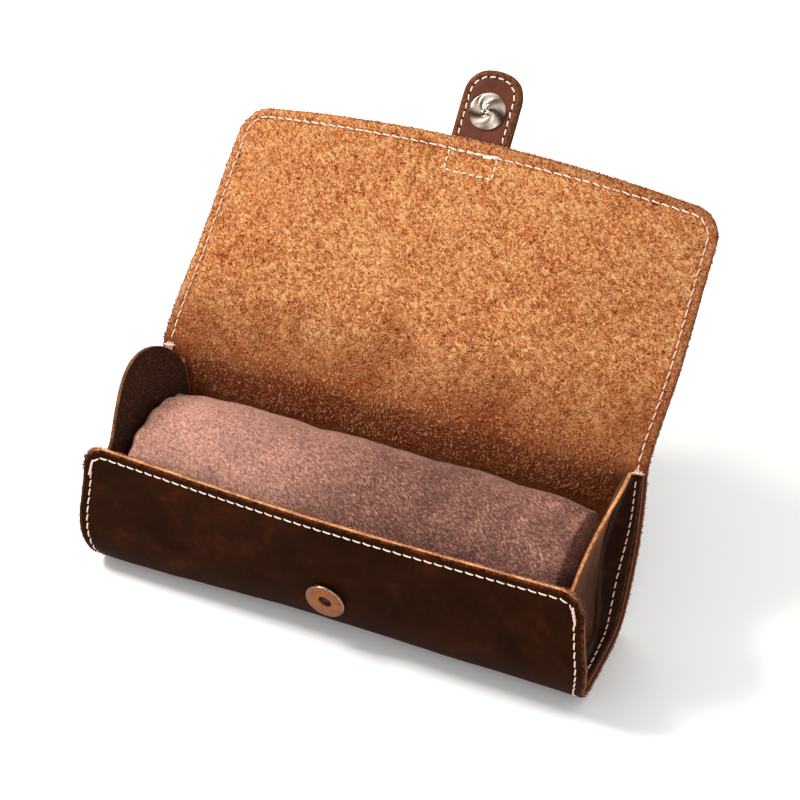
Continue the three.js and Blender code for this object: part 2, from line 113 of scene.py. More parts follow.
# Sizes of the end panels and the cushion
FLANGE_H = LEATHER + 0.05 + PANEL
BEND = 2.2
WEB_X = FLANGE_X - 6.0
LEAN = {-1: 1.4, 1: 7.0}  # by end: how far the tongue leans out, and the web's sag and its height
SAG = {-1: 5.0, 1: 7.5}
SAG_AT = {-1: 46.0, 1: 22.0}
WEB_MIDDLE = (2.0, 42.0)
WEB_REACH = 40.0  # from there to the web's edge, more or less
PANEL_ROUND = 0.35  # how much the cut edges are rounded
CUSHION_ROUND = 6.0
TUBE_HALF = 84.0

# The loose fibres
FAR = 9.0  # stands for any distance at which a cut edge no longer shows
NAP_PER_MM2 = 0.95
EDGE_FIBRE_STEP = 0.13
FRONT_FUZZ = 12.0  # the raw edge is fuzziest where s is less than this
NAP_SLOT, EDGE_SLOT = 3, 4

# The wrap's outer face in the (y, z) plane, from the front edge to below the fold
SHELL_POINTS = [
    (-31.2, 61), (-32.4, 50), (-33.5, 38), (-34.4, 27), (-34.2, 17), (-31.4, 8), (-26, 2.3),
    (-18.5, 0.2), (-8, 0), (4, 0), (13, 0.2), (20, 3.0), (25.3, 8.6), (29, 15.5), (32.2, 23),
    (35.3, 33), (37, 42), (37.9, 52), (38, 60), (38, 64.6),
]
# The tongues' outlines in the same plane, from front to back
TONGUE_POINTS = {
    -1: [(-26.0, 55.0), (-21.5, 57.4), (-17.5, 62.5), (-12.5, 70.5), (-6.5, 78.0), (0.5, 82.6), (8, 83.4),
         (15, 81.6), (21.5, 78.0), (27.2, 72.6), (30.8, 66.5)],
    1: [(-26.5, 55.2), (-22.5, 57.2), (-19.0, 61.5), (-15.0, 69.5), (-9.5, 77.2), (-2.5, 82.4), (5, 84.0),
        (13, 82.8), (20.5, 79.2), (26.5, 74.6), (31.0, 70.0)],
}


# ---------------------------------------------------------------- numbers

def smooth(t):
    t = np.clip(t, 0.0, 1.0)
    return t * t * (3 - 2 * t)


def hump(distance, width):
    return np.exp(-(distance / width) ** 2)


def circle(count):
    """Evenly spaced angles, all the way round."""
    return np.linspace(0, 2 * math.pi, count, endpoint=False)


def distances(points):
    """How far along a line each of its points is."""
    return np.r_[0, np.cumsum(np.linalg.norm(np.diff(points, axis=0), axis=1))]


def spline(points, step):
    """Closely spaced points on a smooth line through the given ones."""
    p = np.array(points, float)
    t = distances(p)
    n, h = len(p), np.diff(t)
    system, right = np.eye(n), np.zeros_like(p)
    for i in range(1, n - 1):
        system[i, i - 1:i + 2] = h[i - 1], 2 * (h[i - 1] + h[i]), h[i]
        right[i] = 6 * ((p[i + 1] - p[i]) / h[i] - (p[i] - p[i - 1]) / h[i - 1])
    m = np.linalg.solve(system, right)
    u = np.linspace(0, t[-1], int(t[-1] / step) + 2)
    i = np.clip(np.searchsorted(t, u, side="right") - 1, 0, n - 2)
    a, b, w = (t[i + 1] - u)[:, None], (u - t[i])[:, None], h[i][:, None]
    return (m[i] * a ** 3 + m[i + 1] * b ** 3) / (6 * w) + (p[i] / w - m[i] * w / 6) * a \
        + (p[i + 1] / w - m[i + 1] * w / 6) * b


def waves(u, v, cell, seed):
    """Smooth noise from -1 to 1, its lumps about one cell across."""
    table = np.random.default_rng(seed).uniform(-1, 1, (64, 64))
    a, b = np.asarray(u) / cell + 31.7, np.asarray(v) / cell + 17.3
    i, j = np.floor(a).astype(int), np.floor(b).astype(int)
    f, g = smooth(a - i), smooth(b - j)

    def at(di, dj):
        return table[(i + di) % 64, (j + dj) % 64]

    return (at(0, 0) * (1 - f) + at(1, 0) * f) * (1 - g) + (at(0, 1) * (1 - f) + at(1, 1) * f) * g


def wrap_line():
    """The section's line: shell, round fold and straight lid, longer than the lid."""
    shell = spline(SHELL_POINTS, 0.25)
    turn = np.linspace(0, FOLD_TURN, 40)[1:]
    end = shell[-1]
    fold = np.c_[end[0] + FOLD_RADIUS * (1 - np.cos(turn)), end[1] + FOLD_RADIUS * np.sin(turn)]
    lid = fold[-1] + np.linspace(0, 160, 400)[1:, None] * LID_UP
    line = np.vstack([shell, fold, lid])
    line[:, 1] = np.maximum(line[:, 1], 0.0)
    return line


LINE = wrap_line()
LINE_S = distances(LINE)
TANGENT = np.gradient(LINE, LINE_S, axis=0)
TANGENT /= np.linalg.norm(TANGENT, axis=1)[:, None]
S_HINGE = float(LINE_S[-1] - (LINE[-1] - HINGE) @ LID_UP)
S_BOTTOM = float(LINE_S[np.argmin(np.hypot(LINE[:, 0], LINE[:, 1]))])
S_CORNER = S_HINGE + LID_SIDE - LID_CORNER  # where the lid's round corners start
MIDS = S_HINGE + STRIP * (np.arange(STRIPS - 1) + 0.5)  # the middles of the CAD's strips


def s_front(z):
    """s where the front wall is at height z."""
    part = LINE_S < S_BOTTOM
    return float(np.interp(-z, -LINE[part, 1], LINE_S[part]))


def s_back(z):
    """s where the back wall is at height z."""
    part = (LINE_S > S_BOTTOM) & (LINE_S < S_HINGE)
    return float(np.interp(z, LINE[part, 1], LINE_S[part]))


S_SOCKET = s_front(float(SOCKET_AT[2]))
STUD_T = float((STUD_AT[1:] - HINGE) @ LID_UP)


def stand_out(x, s):
    """How far the wrap stands out from its plain line."""
    t = s - S_HINGE
    middle = np.cos(np.clip(x / HALF, -1, 1) * QUARTER) ** 1.4
    # the front wall bulges in its middle, turns in at its ends and tucks in low down on the right
    ends = np.where(x < 0, 3.4, 1.6)
    out = smooth(1 - s / 52) * (0.8 * middle - ends * (1 - middle))
    out = out - 3.3 * smooth((x + 104) / 112) * hump(s - s_front(7), 16)
    # the back wall is hollow, and the lid waves a little, less towards its free edge
    back = hump(s - s_back(40), 22)
    out = out - 0.9 * back * middle + 0.35 * back * waves(x, s, 46, 3)
    lid = smooth((t - 8) / 30) * (1 - 0.75 * smooth((t - 66) / 20))
    out = out + lid * 0.9 * waves(x, s, 75, 11) + lid * 0.35 * waves(x, s, 28, 12)
    out = out + 0.45 * smooth((t - 70) / 20)
    return out + (1 - lid) * 0.3 * waves(x, s, 38, 5) * smooth(s / 12)


def slide(x, s):
    """How far a point is moved along X: the front's ends bow, and the lid spreads to the left."""
    t = s - S_HINGE
    side = np.clip(x / HALF, -1.1, 1.1)
    height = np.interp(s, LINE_S, LINE[:, 1])
    right, left = (np.clip(v, 0, None) ** 3 for v in (side, -side))
    front = smooth(1 - (s - 40) / 45)
    right_bow = front * (2.6 * hump(height - 24, 15) - 1.0 * smooth((height - 40) / 20))
    left_bow = front * (0.4 + 2.4 * hump(height - 25, 17))
    lid = smooth((t - 5) / 40)
    rise = np.clip(t / LID_SIDE, 0, 1.4)
    return right * right_bow - left * left_bow + lid * 1.8 + left * lid * 5.0 * rise ** 1.6


def place(x, s, h):
    """Points of the flat layout in space, in metres."""
    x, s, h = np.broadcast_arrays(*(np.asarray(v, float) for v in (x, s, h)))
    y, z, ty, tz = (np.interp(s, LINE_S, v) for v in (*LINE.T, *TANGENT.T))
    size = np.hypot(ty, tz)
    out = stand_out(x, s) - h
    z = np.maximum(z - ty / size * out, 0.02 + h * 0.9 * (z < 3))
    return np.stack([x + slide(x, s), y + tz / size * out, z], -1) * MM


# ---------------------------------------------------------------- meshes

class Soup:
    """A mesh in the making: points, faces, material numbers, and each point's place in the flat
    layout and distance from the nearest cut edge, which the materials use."""

    def __init__(self, mapper=place):
        self.points, self.flat, self.edge, self.faces, self.slots = [], [], [], [], []
        self.count, self.mapper = 0, mapper

    def add(self, points, flat, faces=(), slot=0, edge=None):
        """Adds points in metres, and faces that number them from 0. Returns the first one's number."""
        first, points = self.count, np.asarray(points, float).reshape(-1, 3)
        self.points.append(points)
        self.flat.append(np.asarray(flat, float).reshape(-1, 3))
        self.edge.append(np.full(len(points), FAR) if edge is None else np.ravel(edge))
        self.join(np.asarray(faces, int) + first, slot)
        self.count += len(points)
        return first

    def lay(self, x, s, h, faces=(), slot=0, edge=None):
        """Adds points of a flat layout, which the mapper puts in space."""
        x, s, h = np.broadcast_arrays(x, s, h)
        return self.add(self.mapper(x, s, h), np.stack([x, s, h], -1), faces, slot, edge)

    def join(self, faces, slot):
        self.faces.extend(np.asarray(faces, int).tolist())
        self.slots.extend([slot] * len(faces))

    def bridge(self, a, b, slot, flip=False):
        """Joins two lines of points with quads."""
        quads = np.stack([a[:-1], a[1:], b[1:], b[:-1]], -1)
        self.join(quads[:, ::-1] if flip else quads, slot)

    def build(self, name, materials):
        mesh = bpy.data.meshes.new(name)
        points = np.vstack(self.points)
        # a point just under the floor's level is lifted onto it
        points[:, 2] = np.where(points[:, 2] > -5 * MM, np.maximum(points[:, 2], 0.02 * MM), points[:, 2])
        mesh.from_pydata(points.tolist(), [], self.faces)
        for material in materials:
            mesh.materials.append(material)
        mesh.polygons.foreach_set("material_index", self.slots)
        mesh.shade_smooth()
        flat = mesh.attributes.new("flat", "FLOAT_VECTOR", "POINT")
        flat.data.foreach_set("vector", (np.vstack(self.flat) * MM).astype(np.float32).ravel())
        edge = mesh.attributes.new("edge", "FLOAT", "POINT")
        edge.data.foreach_set("value", np.concatenate(self.edge).astype(np.float32))
        mesh.update()
        obj = bpy.data.objects.new(name, mesh)
        SCENE.collection.objects.link(obj)
        return obj


def grid_faces(rows, columns, closed=False, flip=False):
    """Quads between rows of points. A closed row's last point is next to its first."""
    i, j = np.meshgrid(np.arange(rows - 1), np.arange(columns if closed else columns - 1), indexing="ij")
    n = (j + 1) % columns
    quads = np.stack([i * columns + j, i * columns + n, (i + 1) * columns + n, (i + 1) * columns + j], -1)
    quads = quads.reshape(-1, 4)
    return quads[:, ::-1] if flip else quads


def two_faces(mapper, x, s, outer, inner, edge):
    """A sheet of leather: its outer face in material 0 and its inner face in material 1."""
    soup = Soup(mapper)
    for depth, slot in ((outer, 0), (inner, 1)):
        soup.lay(x, s, depth, grid_faces(*x.shape, flip=slot == 1), slot, edge)
    return soup


def close_rim(soup, a, b, closed=False, bulge=0.24, ragged=0.12):
    """The raw edge between two matching lines of points, in material 2: bulging and ragged."""
    points, flat = np.vstack(soup.points) / MM, np.vstack(soup.flat)
    pa, pb = points[a], points[b]
    along = np.roll(pa, -1, 0) - np.roll(pa, 1, 0) if closed else np.gradient(pa, axis=0)
    normal = np.cross(along, pb - pa)
    out = normal / (np.linalg.norm(normal, axis=1)[:, None] + 1e-9)
    out *= np.sign(((pa - points.mean(0)) * out).sum())
    u, v = flat[a][:, 0], flat[a][:, 1]
    rough = waves(u * 1.3 + v, v * 1.7 - u, 0.9, 41)
    flip = (normal * out).sum() <= 0
    lines = [a]
    for share, part in ((0.2, 0.6), (0.5, 1.0), (0.8, 0.7)):
        ring = pa + (pb - pa) * share + out * (part * (bulge + ragged * rough))[:, None]
        first = soup.add(ring * MM, flat[a] + (flat[b] - flat[a]) * share, edge=np.zeros(len(a)))
        lines.append(first + np.arange(len(a)))
    lines.append(b)
    if closed:
        lines = [np.r_[line, line[:1]] for line in lines]
    for before, after in zip(lines[:-1], lines[1:]):
        soup.bridge(before, after, 2, flip)


def stands_for(obj, slot, body, *nodes):
    """Hangs a piece on the body it rides on, unless it is bent between two, and hides its nodes. slot, the
    piece's finish, is not used.
    """
    if body:
        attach(obj, body)
    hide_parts(*nodes)


# ---------------------------------------------------------------- materials

def srgb(colour):
    shares = [c / 255 for c in colour]
    return (*(c / 12.92 if c <= 0.04045 else ((c + 0.055) / 1.055) ** 2.4 for c in shares), 1.0)


class Look:
    """A material's node tree, built a node at a time."""

    def __init__(self, name, **values):
        self.material = bpy.data.materials.new(name)
        self.material.use_nodes = True
        self.tree = self.material.node_tree
        self.shader = self.tree.nodes["Principled BSDF"]
        for socket, value in values.items():
            self.put(value, self.shader.inputs[socket.replace("_", " ")])

    def put(self, value, socket):
        """Links a socket or sets a value. A colour's three numbers are sRGB."""
        if isinstance(value, bpy.types.NodeSocket):
            self.tree.links.new(value, socket)
        else:
            socket.default_value = srgb(value) if socket.type == "RGBA" and len(value) == 3 else value

    def node(self, kind, sockets, output=0, **settings):
        made = self.tree.nodes.new("ShaderNode" + kind)
        for key, value in settings.items():
            setattr(made, key, value)
        for key, value in sockets.items():
            self.put(value, made.inputs[key])
        return made.outputs[output]

    def flat(self):
        return self.node("Attribute", {}, "Vector", attribute_name="flat")

    def edge(self):
        return self.node("Attribute", {}, "Fac", attribute_name="edge")

    def place(self):
        return self.node("TexCoord", {}, "Object")

    def axis(self, vector, number):
        return self.node("SeparateXYZ", {"Vector": vector}, number)

    def turned(self, vector, angle, stretch):
        """Coordinates for marks that lie at an angle and are stretch times as long as wide."""
        return self.node("Mapping", {"Vector": vector, "Rotation": (0, 0, angle), "Scale": (1, stretch, 1)},
                         vector_type="TEXTURE")

    def noise(self, vector, size, detail=3.0, roughness=0.55, distortion=0.0):
        """Noise whose lumps are about size millimetres across."""
        return self.node("TexNoise", {
            "Vector": vector, "Scale": 1 / (size * MM), "Detail": detail,
            "Roughness": roughness, "Distortion": distortion})

    def wave(self, vector, scale, distortion, detail, **more):
        return self.node("TexWave", {"Vector": vector, "Scale": scale, "Distortion": distortion,
                                     "Detail": detail, **more}, "Fac", bands_direction="DIAGONAL")

    def math(self, operation, a, b=0.0):
        return self.node("Math", {0: a, 1: b}, operation=operation)

    def times(self, a, b):
        return self.math("MULTIPLY", a, b)

    def plus(self, a, b):
        return self.math("ADD", a, b)

    def shares(self, a, share_a, b, share_b):
        """The sum of two values, each with its share."""
        return self.plus(self.times(a, share_a), self.times(b, share_b))

    def spread(self, value, low, high, to_low=0.0, to_high=1.0):
        return self.node("MapRange", {0: value, 1: low, 2: high, 3: to_low, 4: to_high})

    def ramp(self, value, *stops):
        made = self.tree.nodes.new("ShaderNodeValToRGB")
        elements = made.color_ramp.elements
        while len(elements) < len(stops):
            elements.new(0.5)
        for element, (position, colour) in zip(elements, stops):
            element.position = position
            element.color = srgb(colour)
        self.put(value, made.inputs[0])
        return made.outputs[0]

    def mix(self, share, a, b):
        return self.node("Mix", {0: share, 6: a, 7: b}, 2, data_type="RGBA")

    def finish(self, colour, roughness, height, depth, strength=1.0):
        """Sets the shader's colour, roughness and bump. depth is the bump's height in millimetres."""
        self.put(colour, self.shader.inputs["Base Color"])
        self.put(roughness, self.shader.inputs["Roughness"])
        bump = self.node("Bump", {"Height": height, "Distance": depth * MM, "Strength": strength})
        self.put(bump, self.shader.inputs["Normal"])
        return self.material


def oiled_leather(name, dark, mid, light, gloss=0.48, shine=0.02, top_light=0.0, rough_rim=0.0):
    """Dark pull-up leather: cloudy colour, fine pores, dust specks, worn edges. top_light paints light on the
    tongues' tops, where light falls on them, and rough_rim makes the margin outside a seam fibrous."""
    look = Look(name, Specular_IOR_Level=shine, Specular_Tint=(255, 206, 170))
    v = look.flat()
    clouds = look.noise(v, 26.0, 5, 0.62, 0.6)
    mottle = look.noise(v, 5.0, 4, 0.65, 0.4)
    tone = look.shares(clouds, 0.72, mottle, 0.28)
    colour = look.ramp(tone, (0.30, dark), (0.54, mid), (0.86, light))
    specks = look.spread(look.noise(v, 1.0, 2, 0.7), 0.66, 0.74)
    colour = look.mix(look.times(specks, 0.42), colour, light)
    streak = look.noise(look.turned(v, 0.5, 8.0), 1.4, 3, 0.6)
    scuffs = look.times(look.spread(streak, 0.68, 0.76), look.spread(mottle, 0.5, 0.62))
    colour = look.mix(look.times(scuffs, 0.5), colour, light)
    worn = look.times(look.spread(look.edge(), 0.2, 1.3, 1.0, 0.0),
                      look.spread(look.noise(v, 2.2, 3, 0.6), 0.4, 0.6))
    colour = look.mix(look.times(worn, 0.7), colour, (112, 60, 32))
    if top_light:
        # painted light: the tongues are made paler high up, where light falls on them
        high = look.spread(look.axis(v, 1), 0.044, 0.080, 0.0, top_light)
        colour = look.mix(look.times(high, look.spread(clouds, 0.3, 0.6, 0.5, 1.0)), colour, (168, 104, 62))
    if rough_rim:
        band = look.spread(look.edge(), 1.3, 2.7, rough_rim, 0.0)
        flecks = look.noise(v, 0.8, 4, 0.72)
        colour = look.mix(band, colour, look.ramp(flecks, (0.46, (54, 26, 14)), (0.70, (146, 84, 48))))
    pores = look.noise(v, 0.55, 2, 0.7)
    wrinkle = look.noise(look.turned(v, -0.3, 2.0), 2.6, 4, 0.6, 0.8)
    height = look.plus(look.times(pores, 0.35), wrinkle)
    roughness = look.spread(look.plus(look.times(mottle, 0.6), scuffs), 0.2, 0.9, gloss - 0.1, gloss + 0.2)
    return look.finish(colour, roughness, height, 0.22, 0.55)


def suede(name, dark, mid, light, lump=2.0, base_shade=0.0):
    """Rough flesh side: lumps of nap with pale fibres lying across them, and dark pits. base_shade
    darkens it low on the lid."""
    look = Look(name, Specular_IOR_Level=0.03, Sheen_Weight=0.03, Sheen_Roughness=0.6)
    v = look.flat()
    warp = look.node("VectorMath", {
        0: look.node("TexNoise", {"Vector": v, "Scale": 420.0, "Detail": 2.0}, "Color"),
        1: (0.5, 0.5, 0.5)}, operation="SUBTRACT")
    bent = look.node("VectorMath", {0: warp, 1: (0.0022, 0.0022, 0.0022), 2: v}, operation="MULTIPLY_ADD")
    lumps = look.noise(look.turned(bent, 1.05, 2.2), lump, 4, 0.68, 0.4)
    fibres = look.math("MAXIMUM", *(look.noise(look.turned(bent, angle, 3.4), 0.34, 2, 0.6)
                                    for angle in (0.65, 1.55)))
    pits = look.spread(look.noise(look.turned(bent, 1.2, 1.8), 0.7, 3, 0.65), 0.47, 0.37)
    grain = look.shares(lumps, 0.62, fibres, 0.45)
    patches = look.noise(v, 24.0, 4, 0.6, 0.4)
    tone = look.plus(grain, look.times(look.math("SUBTRACT", patches, 0.5), 0.11))
    # painted shade and light: the nap's hollows are made darker and its peaks and loose fibres paler, by their
    # depth
    relief_shading = look.spread(look.axis(v, 2), (LEATHER - 0.45) * MM, (LEATHER + 0.45) * MM, -0.07, 0.07)
    colour = look.ramp(look.plus(tone, relief_shading), (0.42, dark), (0.53, mid), (0.64, light))
    colour = look.mix(look.times(pits, 0.72), colour, dark)
    across = look.axis(v, 0)
    band = look.times(look.spread(look.edge(), 1.0, 4.6, 0.42, 0.0),
                      look.spread(across, -0.06, 0.06, 0.15, 1.0))
    colour = look.mix(band, colour, dark)
    colour = look.mix(look.spread(across, 0.03, 0.11, 0.0, 0.2), colour, dark)
    if base_shade:
        along = look.axis(v, 1)
        wander = look.times(look.math("SUBTRACT", patches, 0.5), 0.035)
        near = look.spread(look.plus(along, wander), (S_HINGE - 4) * MM, (S_HINGE + 33) * MM,
                           base_shade, 0.0)
        colour = look.mix(near, colour, (112, 40, 8))
    height = look.shares(lumps, 1.0, fibres, 0.8)
    return look.finish(colour, 0.93, height, 1.6)


def raw_edge(name, dark, mid, light):
    """A cut edge: packed fibres, darker at the wrap's sides."""
    look = Look(name, Specular_IOR_Level=0.12, Sheen_Weight=0.1)
    v = look.flat()
    fibres = look.noise(look.turned(v, 0.2, 2.8), 0.5, 4, 0.7, 0.6)
    tone = look.shares(fibres, 0.7, look.noise(v, 7.0, 3, 0.6), 0.3)
    colour = look.ramp(tone, (0.38, dark), (0.5, mid), (0.62, light))
    across = look.math("ABSOLUTE", look.axis(v, 0))
    sides = look.spread(across, (HALF - 7) * MM, (HALF - 1) * MM, 0.0, 0.82)
    return look.finish(look.mix(sides, colour, (84, 36, 17)), 0.92, fibres, 0.5, 0.9)


def strap_edge():
    look = Look("strap_raw_edge", Specular_IOR_Level=0.15, Sheen_Weight=0.1)
    v = look.flat()
    fibres = look.noise(v, 0.5, 4, 0.7, 0.6)
    tone = look.shares(fibres, 0.6, look.noise(v, 5.0, 3, 0.6), 0.4)
    colour = look.ramp(tone, (0.38, (46, 22, 12)), (0.5, (84, 44, 24)), (0.66, (158, 94, 56)))
    return look.finish(colour, 0.85, fibres, 0.4, 0.8)


def thread():
    """Waxed thread: slanting plies, dirt, and duller at the wrap's sides."""
    look = Look("thread", Specular_IOR_Level=0.3, Sheen_Weight=0.2)
    v = look.flat()
    ply = look.wave(v, 260.0, 0.8, 1.0)
    dirt = look.noise(v, 9.0, 3, 0.6)
    colour = look.mix(look.times(ply, 0.35), (240, 222, 204), (190, 158, 138))
    colour = look.mix(look.spread(dirt, 0.5, 0.72, 0.0, 0.6), colour, (214, 158, 138))
    across = look.math("ABSOLUTE", look.axis(v, 0))
    colour = look.mix(look.spread(across, 0.097, 0.101, 0.0, 0.45), colour, (206, 150, 130))
    return look.finish(colour, 0.7, ply, 0.08, 0.8)


# painted shade: the needle holes' near-black colour stands for the shade inside them
def stitch_hole_shade():
    look = Look("stitch_hole_shade", Specular_IOR_Level=0.1)
    n = look.noise(look.flat(), 0.6, 2)
    return look.finish(look.mix(n, (14, 8, 5), (48, 26, 16)), 0.9, n, 0.1, 0.5)


def cushion_cloth():
    """Brushed twill: fine diagonal ribs under a short nap, with painted light towards the left."""
    look = Look("cushion_cloth", Specular_IOR_Level=0.22, Sheen_Weight=0.4, Sheen_Roughness=0.35,
                Sheen_Tint=(226, 184, 164))
    v = look.place()
    nap = look.noise(look.turned(v, 1.0, 2.6), 0.7, 4, 0.72, 0.4)
    fine = look.noise(v, 0.35, 2, 0.7)
    ribs = look.wave(v, 470.0, 2.2, 2.0, **{"Detail Scale": 2.0})
    cross = look.wave(look.turned(v, -0.7, 1.6), 520.0, 2.5, 2.0)
    weave = look.shares(ribs, 0.6, cross, 0.4)
    patches = look.noise(v, 20.0, 4, 0.6, 0.5)
    tone = look.plus(look.times(nap, 0.70), look.shares(weave, 0.05, patches, 0.26))
    colour = look.ramp(tone, (0.40, (60, 35, 29)), (0.52, (110, 70, 60)), (0.65, (180, 132, 115)))
    along = look.axis(v, 0)
    # painted light: the cloth is made paler towards the left, where light falls on it
    left_light = look.times(look.spread(along, 0.01, -0.06, 0.0, 0.5), look.spread(nap, 0.38, 0.6, 0.35, 1.0))
    colour = look.mix(left_light, colour, (214, 160, 140))
    height = look.plus(look.times(weave, 0.16), look.shares(nap, 0.8, fine, 0.4))
    return look.finish(colour, 0.82, height, 0.4, 0.75)


def metal(name, dark, light, roughness):
    """Turned metal: fine marks, dull spots and small dents."""
    look = Look(name, Metallic=1.0)
    v = look.place()
    marks = look.noise(v, 0.5, 3, 0.7)
    spots = look.noise(v, 3.0, 4, 0.6)
    colour = look.ramp(look.shares(marks, 0.5, spots, 0.5), (0.35, dark), (0.65, light))
    rough = look.spread(spots, 0.35, 0.7, roughness - 0.06, roughness + 0.16)
    return look.finish(colour, rough, marks, 0.05, 0.4)


def swirl_metal():
    """Nickel ground in a swirl, with painted reflections: pale and dark bands that wind in to the middle."""
    look = Look("swirl_nickel", Metallic=1.0)
    v = look.flat()
    x, y = look.axis(v, 0), look.axis(v, 1)
    radius = look.node("VectorMath", {0: v}, 1, operation="LENGTH")
    wind = look.times(look.math("LOGARITHM", radius, math.e), 2.6)
    turn = look.math("ARCTAN2", y, x)
    # painted reflections: the swirl's pale and dark bands stand for light reflected by the ground metal
    reflection_blades = look.math("SINE", look.plus(look.times(turn, 5.0), wind))
    second = look.math("SINE", look.shares(turn, 2.0, wind, 0.6))
    scratches = look.noise(v, 0.25, 3, 0.7)
    tone = look.plus(look.shares(reflection_blades, 0.30, second, 0.16), look.times(scratches, 0.9))
    colour = look.ramp(tone, (0.05, (58, 46, 40)), (0.4, (150, 132, 120)), (0.75, (214, 200, 186)))
    return look.finish(colour, look.spread(scratches, 0.3, 0.7, 0.16, 0.28), scratches, 0.02, 0.15)


def wound_board():
    """Grey board wound in a spiral: pale and dark strips with paper fibres."""
    look = Look("core_tube", Specular_IOR_Level=0.2)
    dark, light = (124, 112, 96), (176, 164, 144)
    v = look.flat()
    turn = look.math("ARCTAN2", look.axis(v, 1), look.axis(v, 0))
    along = look.times(look.axis(v, 2), math.tau / (38 * MM))
    seam = look.spread(look.math("SINE", look.plus(turn, along)), 0.96, 1.0)
    fibres = look.noise(look.turned(v, 0.4, 3.0), 1.4, 4, 0.65)
    colour = look.mix(look.times(seam, 0.5), look.ramp(fibres, (0.38, dark), (0.62, light)), dark)
    height = look.math("SUBTRACT", look.times(fibres, 0.4), seam)
    return look.finish(colour, look.spread(fibres, 0.3, 0.7, 0.8, 0.92), height, 0.15, 0.6)


OUTER = oiled_leather("wrap_outer", (21, 8, 2), (38, 16, 6), (74, 33, 13), gloss=0.64)
SUEDE = suede("wrap_suede", (98, 34, 6), (222, 128, 66), (255, 200, 136), 0.62, 0.85)
NAP = suede("wrap_nap", (134, 50, 18), (230, 118, 60), (255, 178, 122), 1.6, 0.1)
PANEL_OUT = oiled_leather("panel_outer", (30, 14, 7), (60, 31, 17), (106, 60, 35), gloss=0.62, top_light=0.6)
PANEL_IN = suede("panel_suede", (50, 24, 13), (82, 43, 25), (134, 80, 49), 0.8)
FLANGE = oiled_leather("flange_leather", (22, 10, 7), (40, 20, 14), (84, 48, 34), gloss=0.46, shine=0.2)
LINING = oiled_leather("strap_lining_leather", (58, 28, 21), (88, 46, 36), (124, 72, 56),
                       gloss=0.5, shine=0.14, rough_rim=0.85)
STRAP_OUT = oiled_leather("strap_outer_leather", (32, 15, 8), (56, 28, 15), (100, 56, 31))
RAW = raw_edge("raw_edge", (104, 54, 28), (190, 122, 74), (240, 182, 130))
RAW_TAN = raw_edge("panel_edge", (112, 60, 30), (196, 126, 76), (240, 180, 128))
RAW_BROWN = raw_edge("panel_edge_brown", (48, 24, 13), (96, 54, 31), (180, 116, 76))
RAW_STRAP = strap_edge()
THREAD, HOLE_SHADE, CLOTH, SWIRL = thread(), stitch_hole_shade(), cushion_cloth(), swirl_metal()
NICKEL = metal("nickel", (120, 102, 88), (190, 172, 156), 0.24)
COPPER = metal("copper_face", (104, 58, 34), (160, 100, 64), 0.46)
MAGNET = metal("magnet", (70, 72, 74), (116, 118, 120), 0.42)
# painted shade: the socket's well is a dark metal that stands for the shade inside the recess
WELL_SHADE = metal("socket_well_shade", (28, 16, 11), (62, 38, 27), 0.5)


# ---------------------------------------------------------------- wrap

def half_width(s):
    """Half the wrap's width beside its corners."""
    return HALF + (HALF_LID - HALF) * smooth((s - S_HINGE + 6) / 12)


def rounded_off(radius, past):
    """How much shorter a row is, which lies past the start of a round corner."""
    return radius - np.sqrt(np.clip(radius ** 2 - np.clip(past, 0, None) ** 2, 0, None))


def row_extent(s):
    """Half the length of the row at s, inside the round corners."""
    t = s - S_HINGE
    return half_width(s) - rounded_off(FRONT_CORNER, FRONT_CORNER - s) \
        - rounded_off(LID_CORNER, t - CORNER_T)


def bowed(x, s):
    """The lid's free edge is bowed: rows near it are moved up in the middle."""
    start = CORNER_T - STRIP
    share = np.clip((s - S_HINGE - start) / (LID_SIDE - start), 0, 1) ** 2
    return s + share * ((LID_MIDDLE - LID_SIDE) * np.clip(1 - (x / CORNER_X) ** 2, 0, 1))


def edge_distance(x, s):
    """How far a point of the plain layout is from the wrap's outline."""
    t, ax = s - S_HINGE, np.abs(x)
    d = np.minimum(np.minimum(half_width(s) - ax, s), LID_SIDE - t)
    for radius, u, v in ((FRONT_CORNER, ax - (HALF - FRONT_CORNER), FRONT_CORNER - s),
                         (LID_CORNER, ax - CORNER_X, t - CORNER_T)):
        d = np.where((u > 0) & (v > 0), radius - np.hypot(u, v), d)
    return d


def wrap_columns():
    near = np.array([0, 0.18, 0.45, 0.85, 1.3, 1.8, 2.4, 3.0, 3.6, 4.2, 4.8, 5.6, 6.6, 7.8, 9.2])
    inside = np.linspace(-1, 1, 306)[1:-1] * (HALF - near[-1])
    return np.r_[-HALF + near, inside, (HALF - near)[::-1]]


def wrap_rows():
    """Rows for each piece of the wrap: the shell with half the first strip, then strip to strip."""
    corner = FRONT_CORNER * (1 - np.cos(np.linspace(0, QUARTER, 16)))
    s_fold = s_back(59)
    first = np.r_[corner, np.linspace(FRONT_CORNER, s_fold, int((s_fold - FRONT_CORNER) / 3.5))[1:],
                  np.linspace(s_fold, MIDS[0], 30)[1:]]
    last = np.r_[np.linspace(MIDS[-1], S_CORNER, 22),
                 S_CORNER + LID_CORNER * np.sin(np.linspace(0, QUARTER, 25))[1:]]
    return [first] + [np.linspace(a, b, 24) for a, b in zip(MIDS[:-1], MIDS[1:])] + [last]


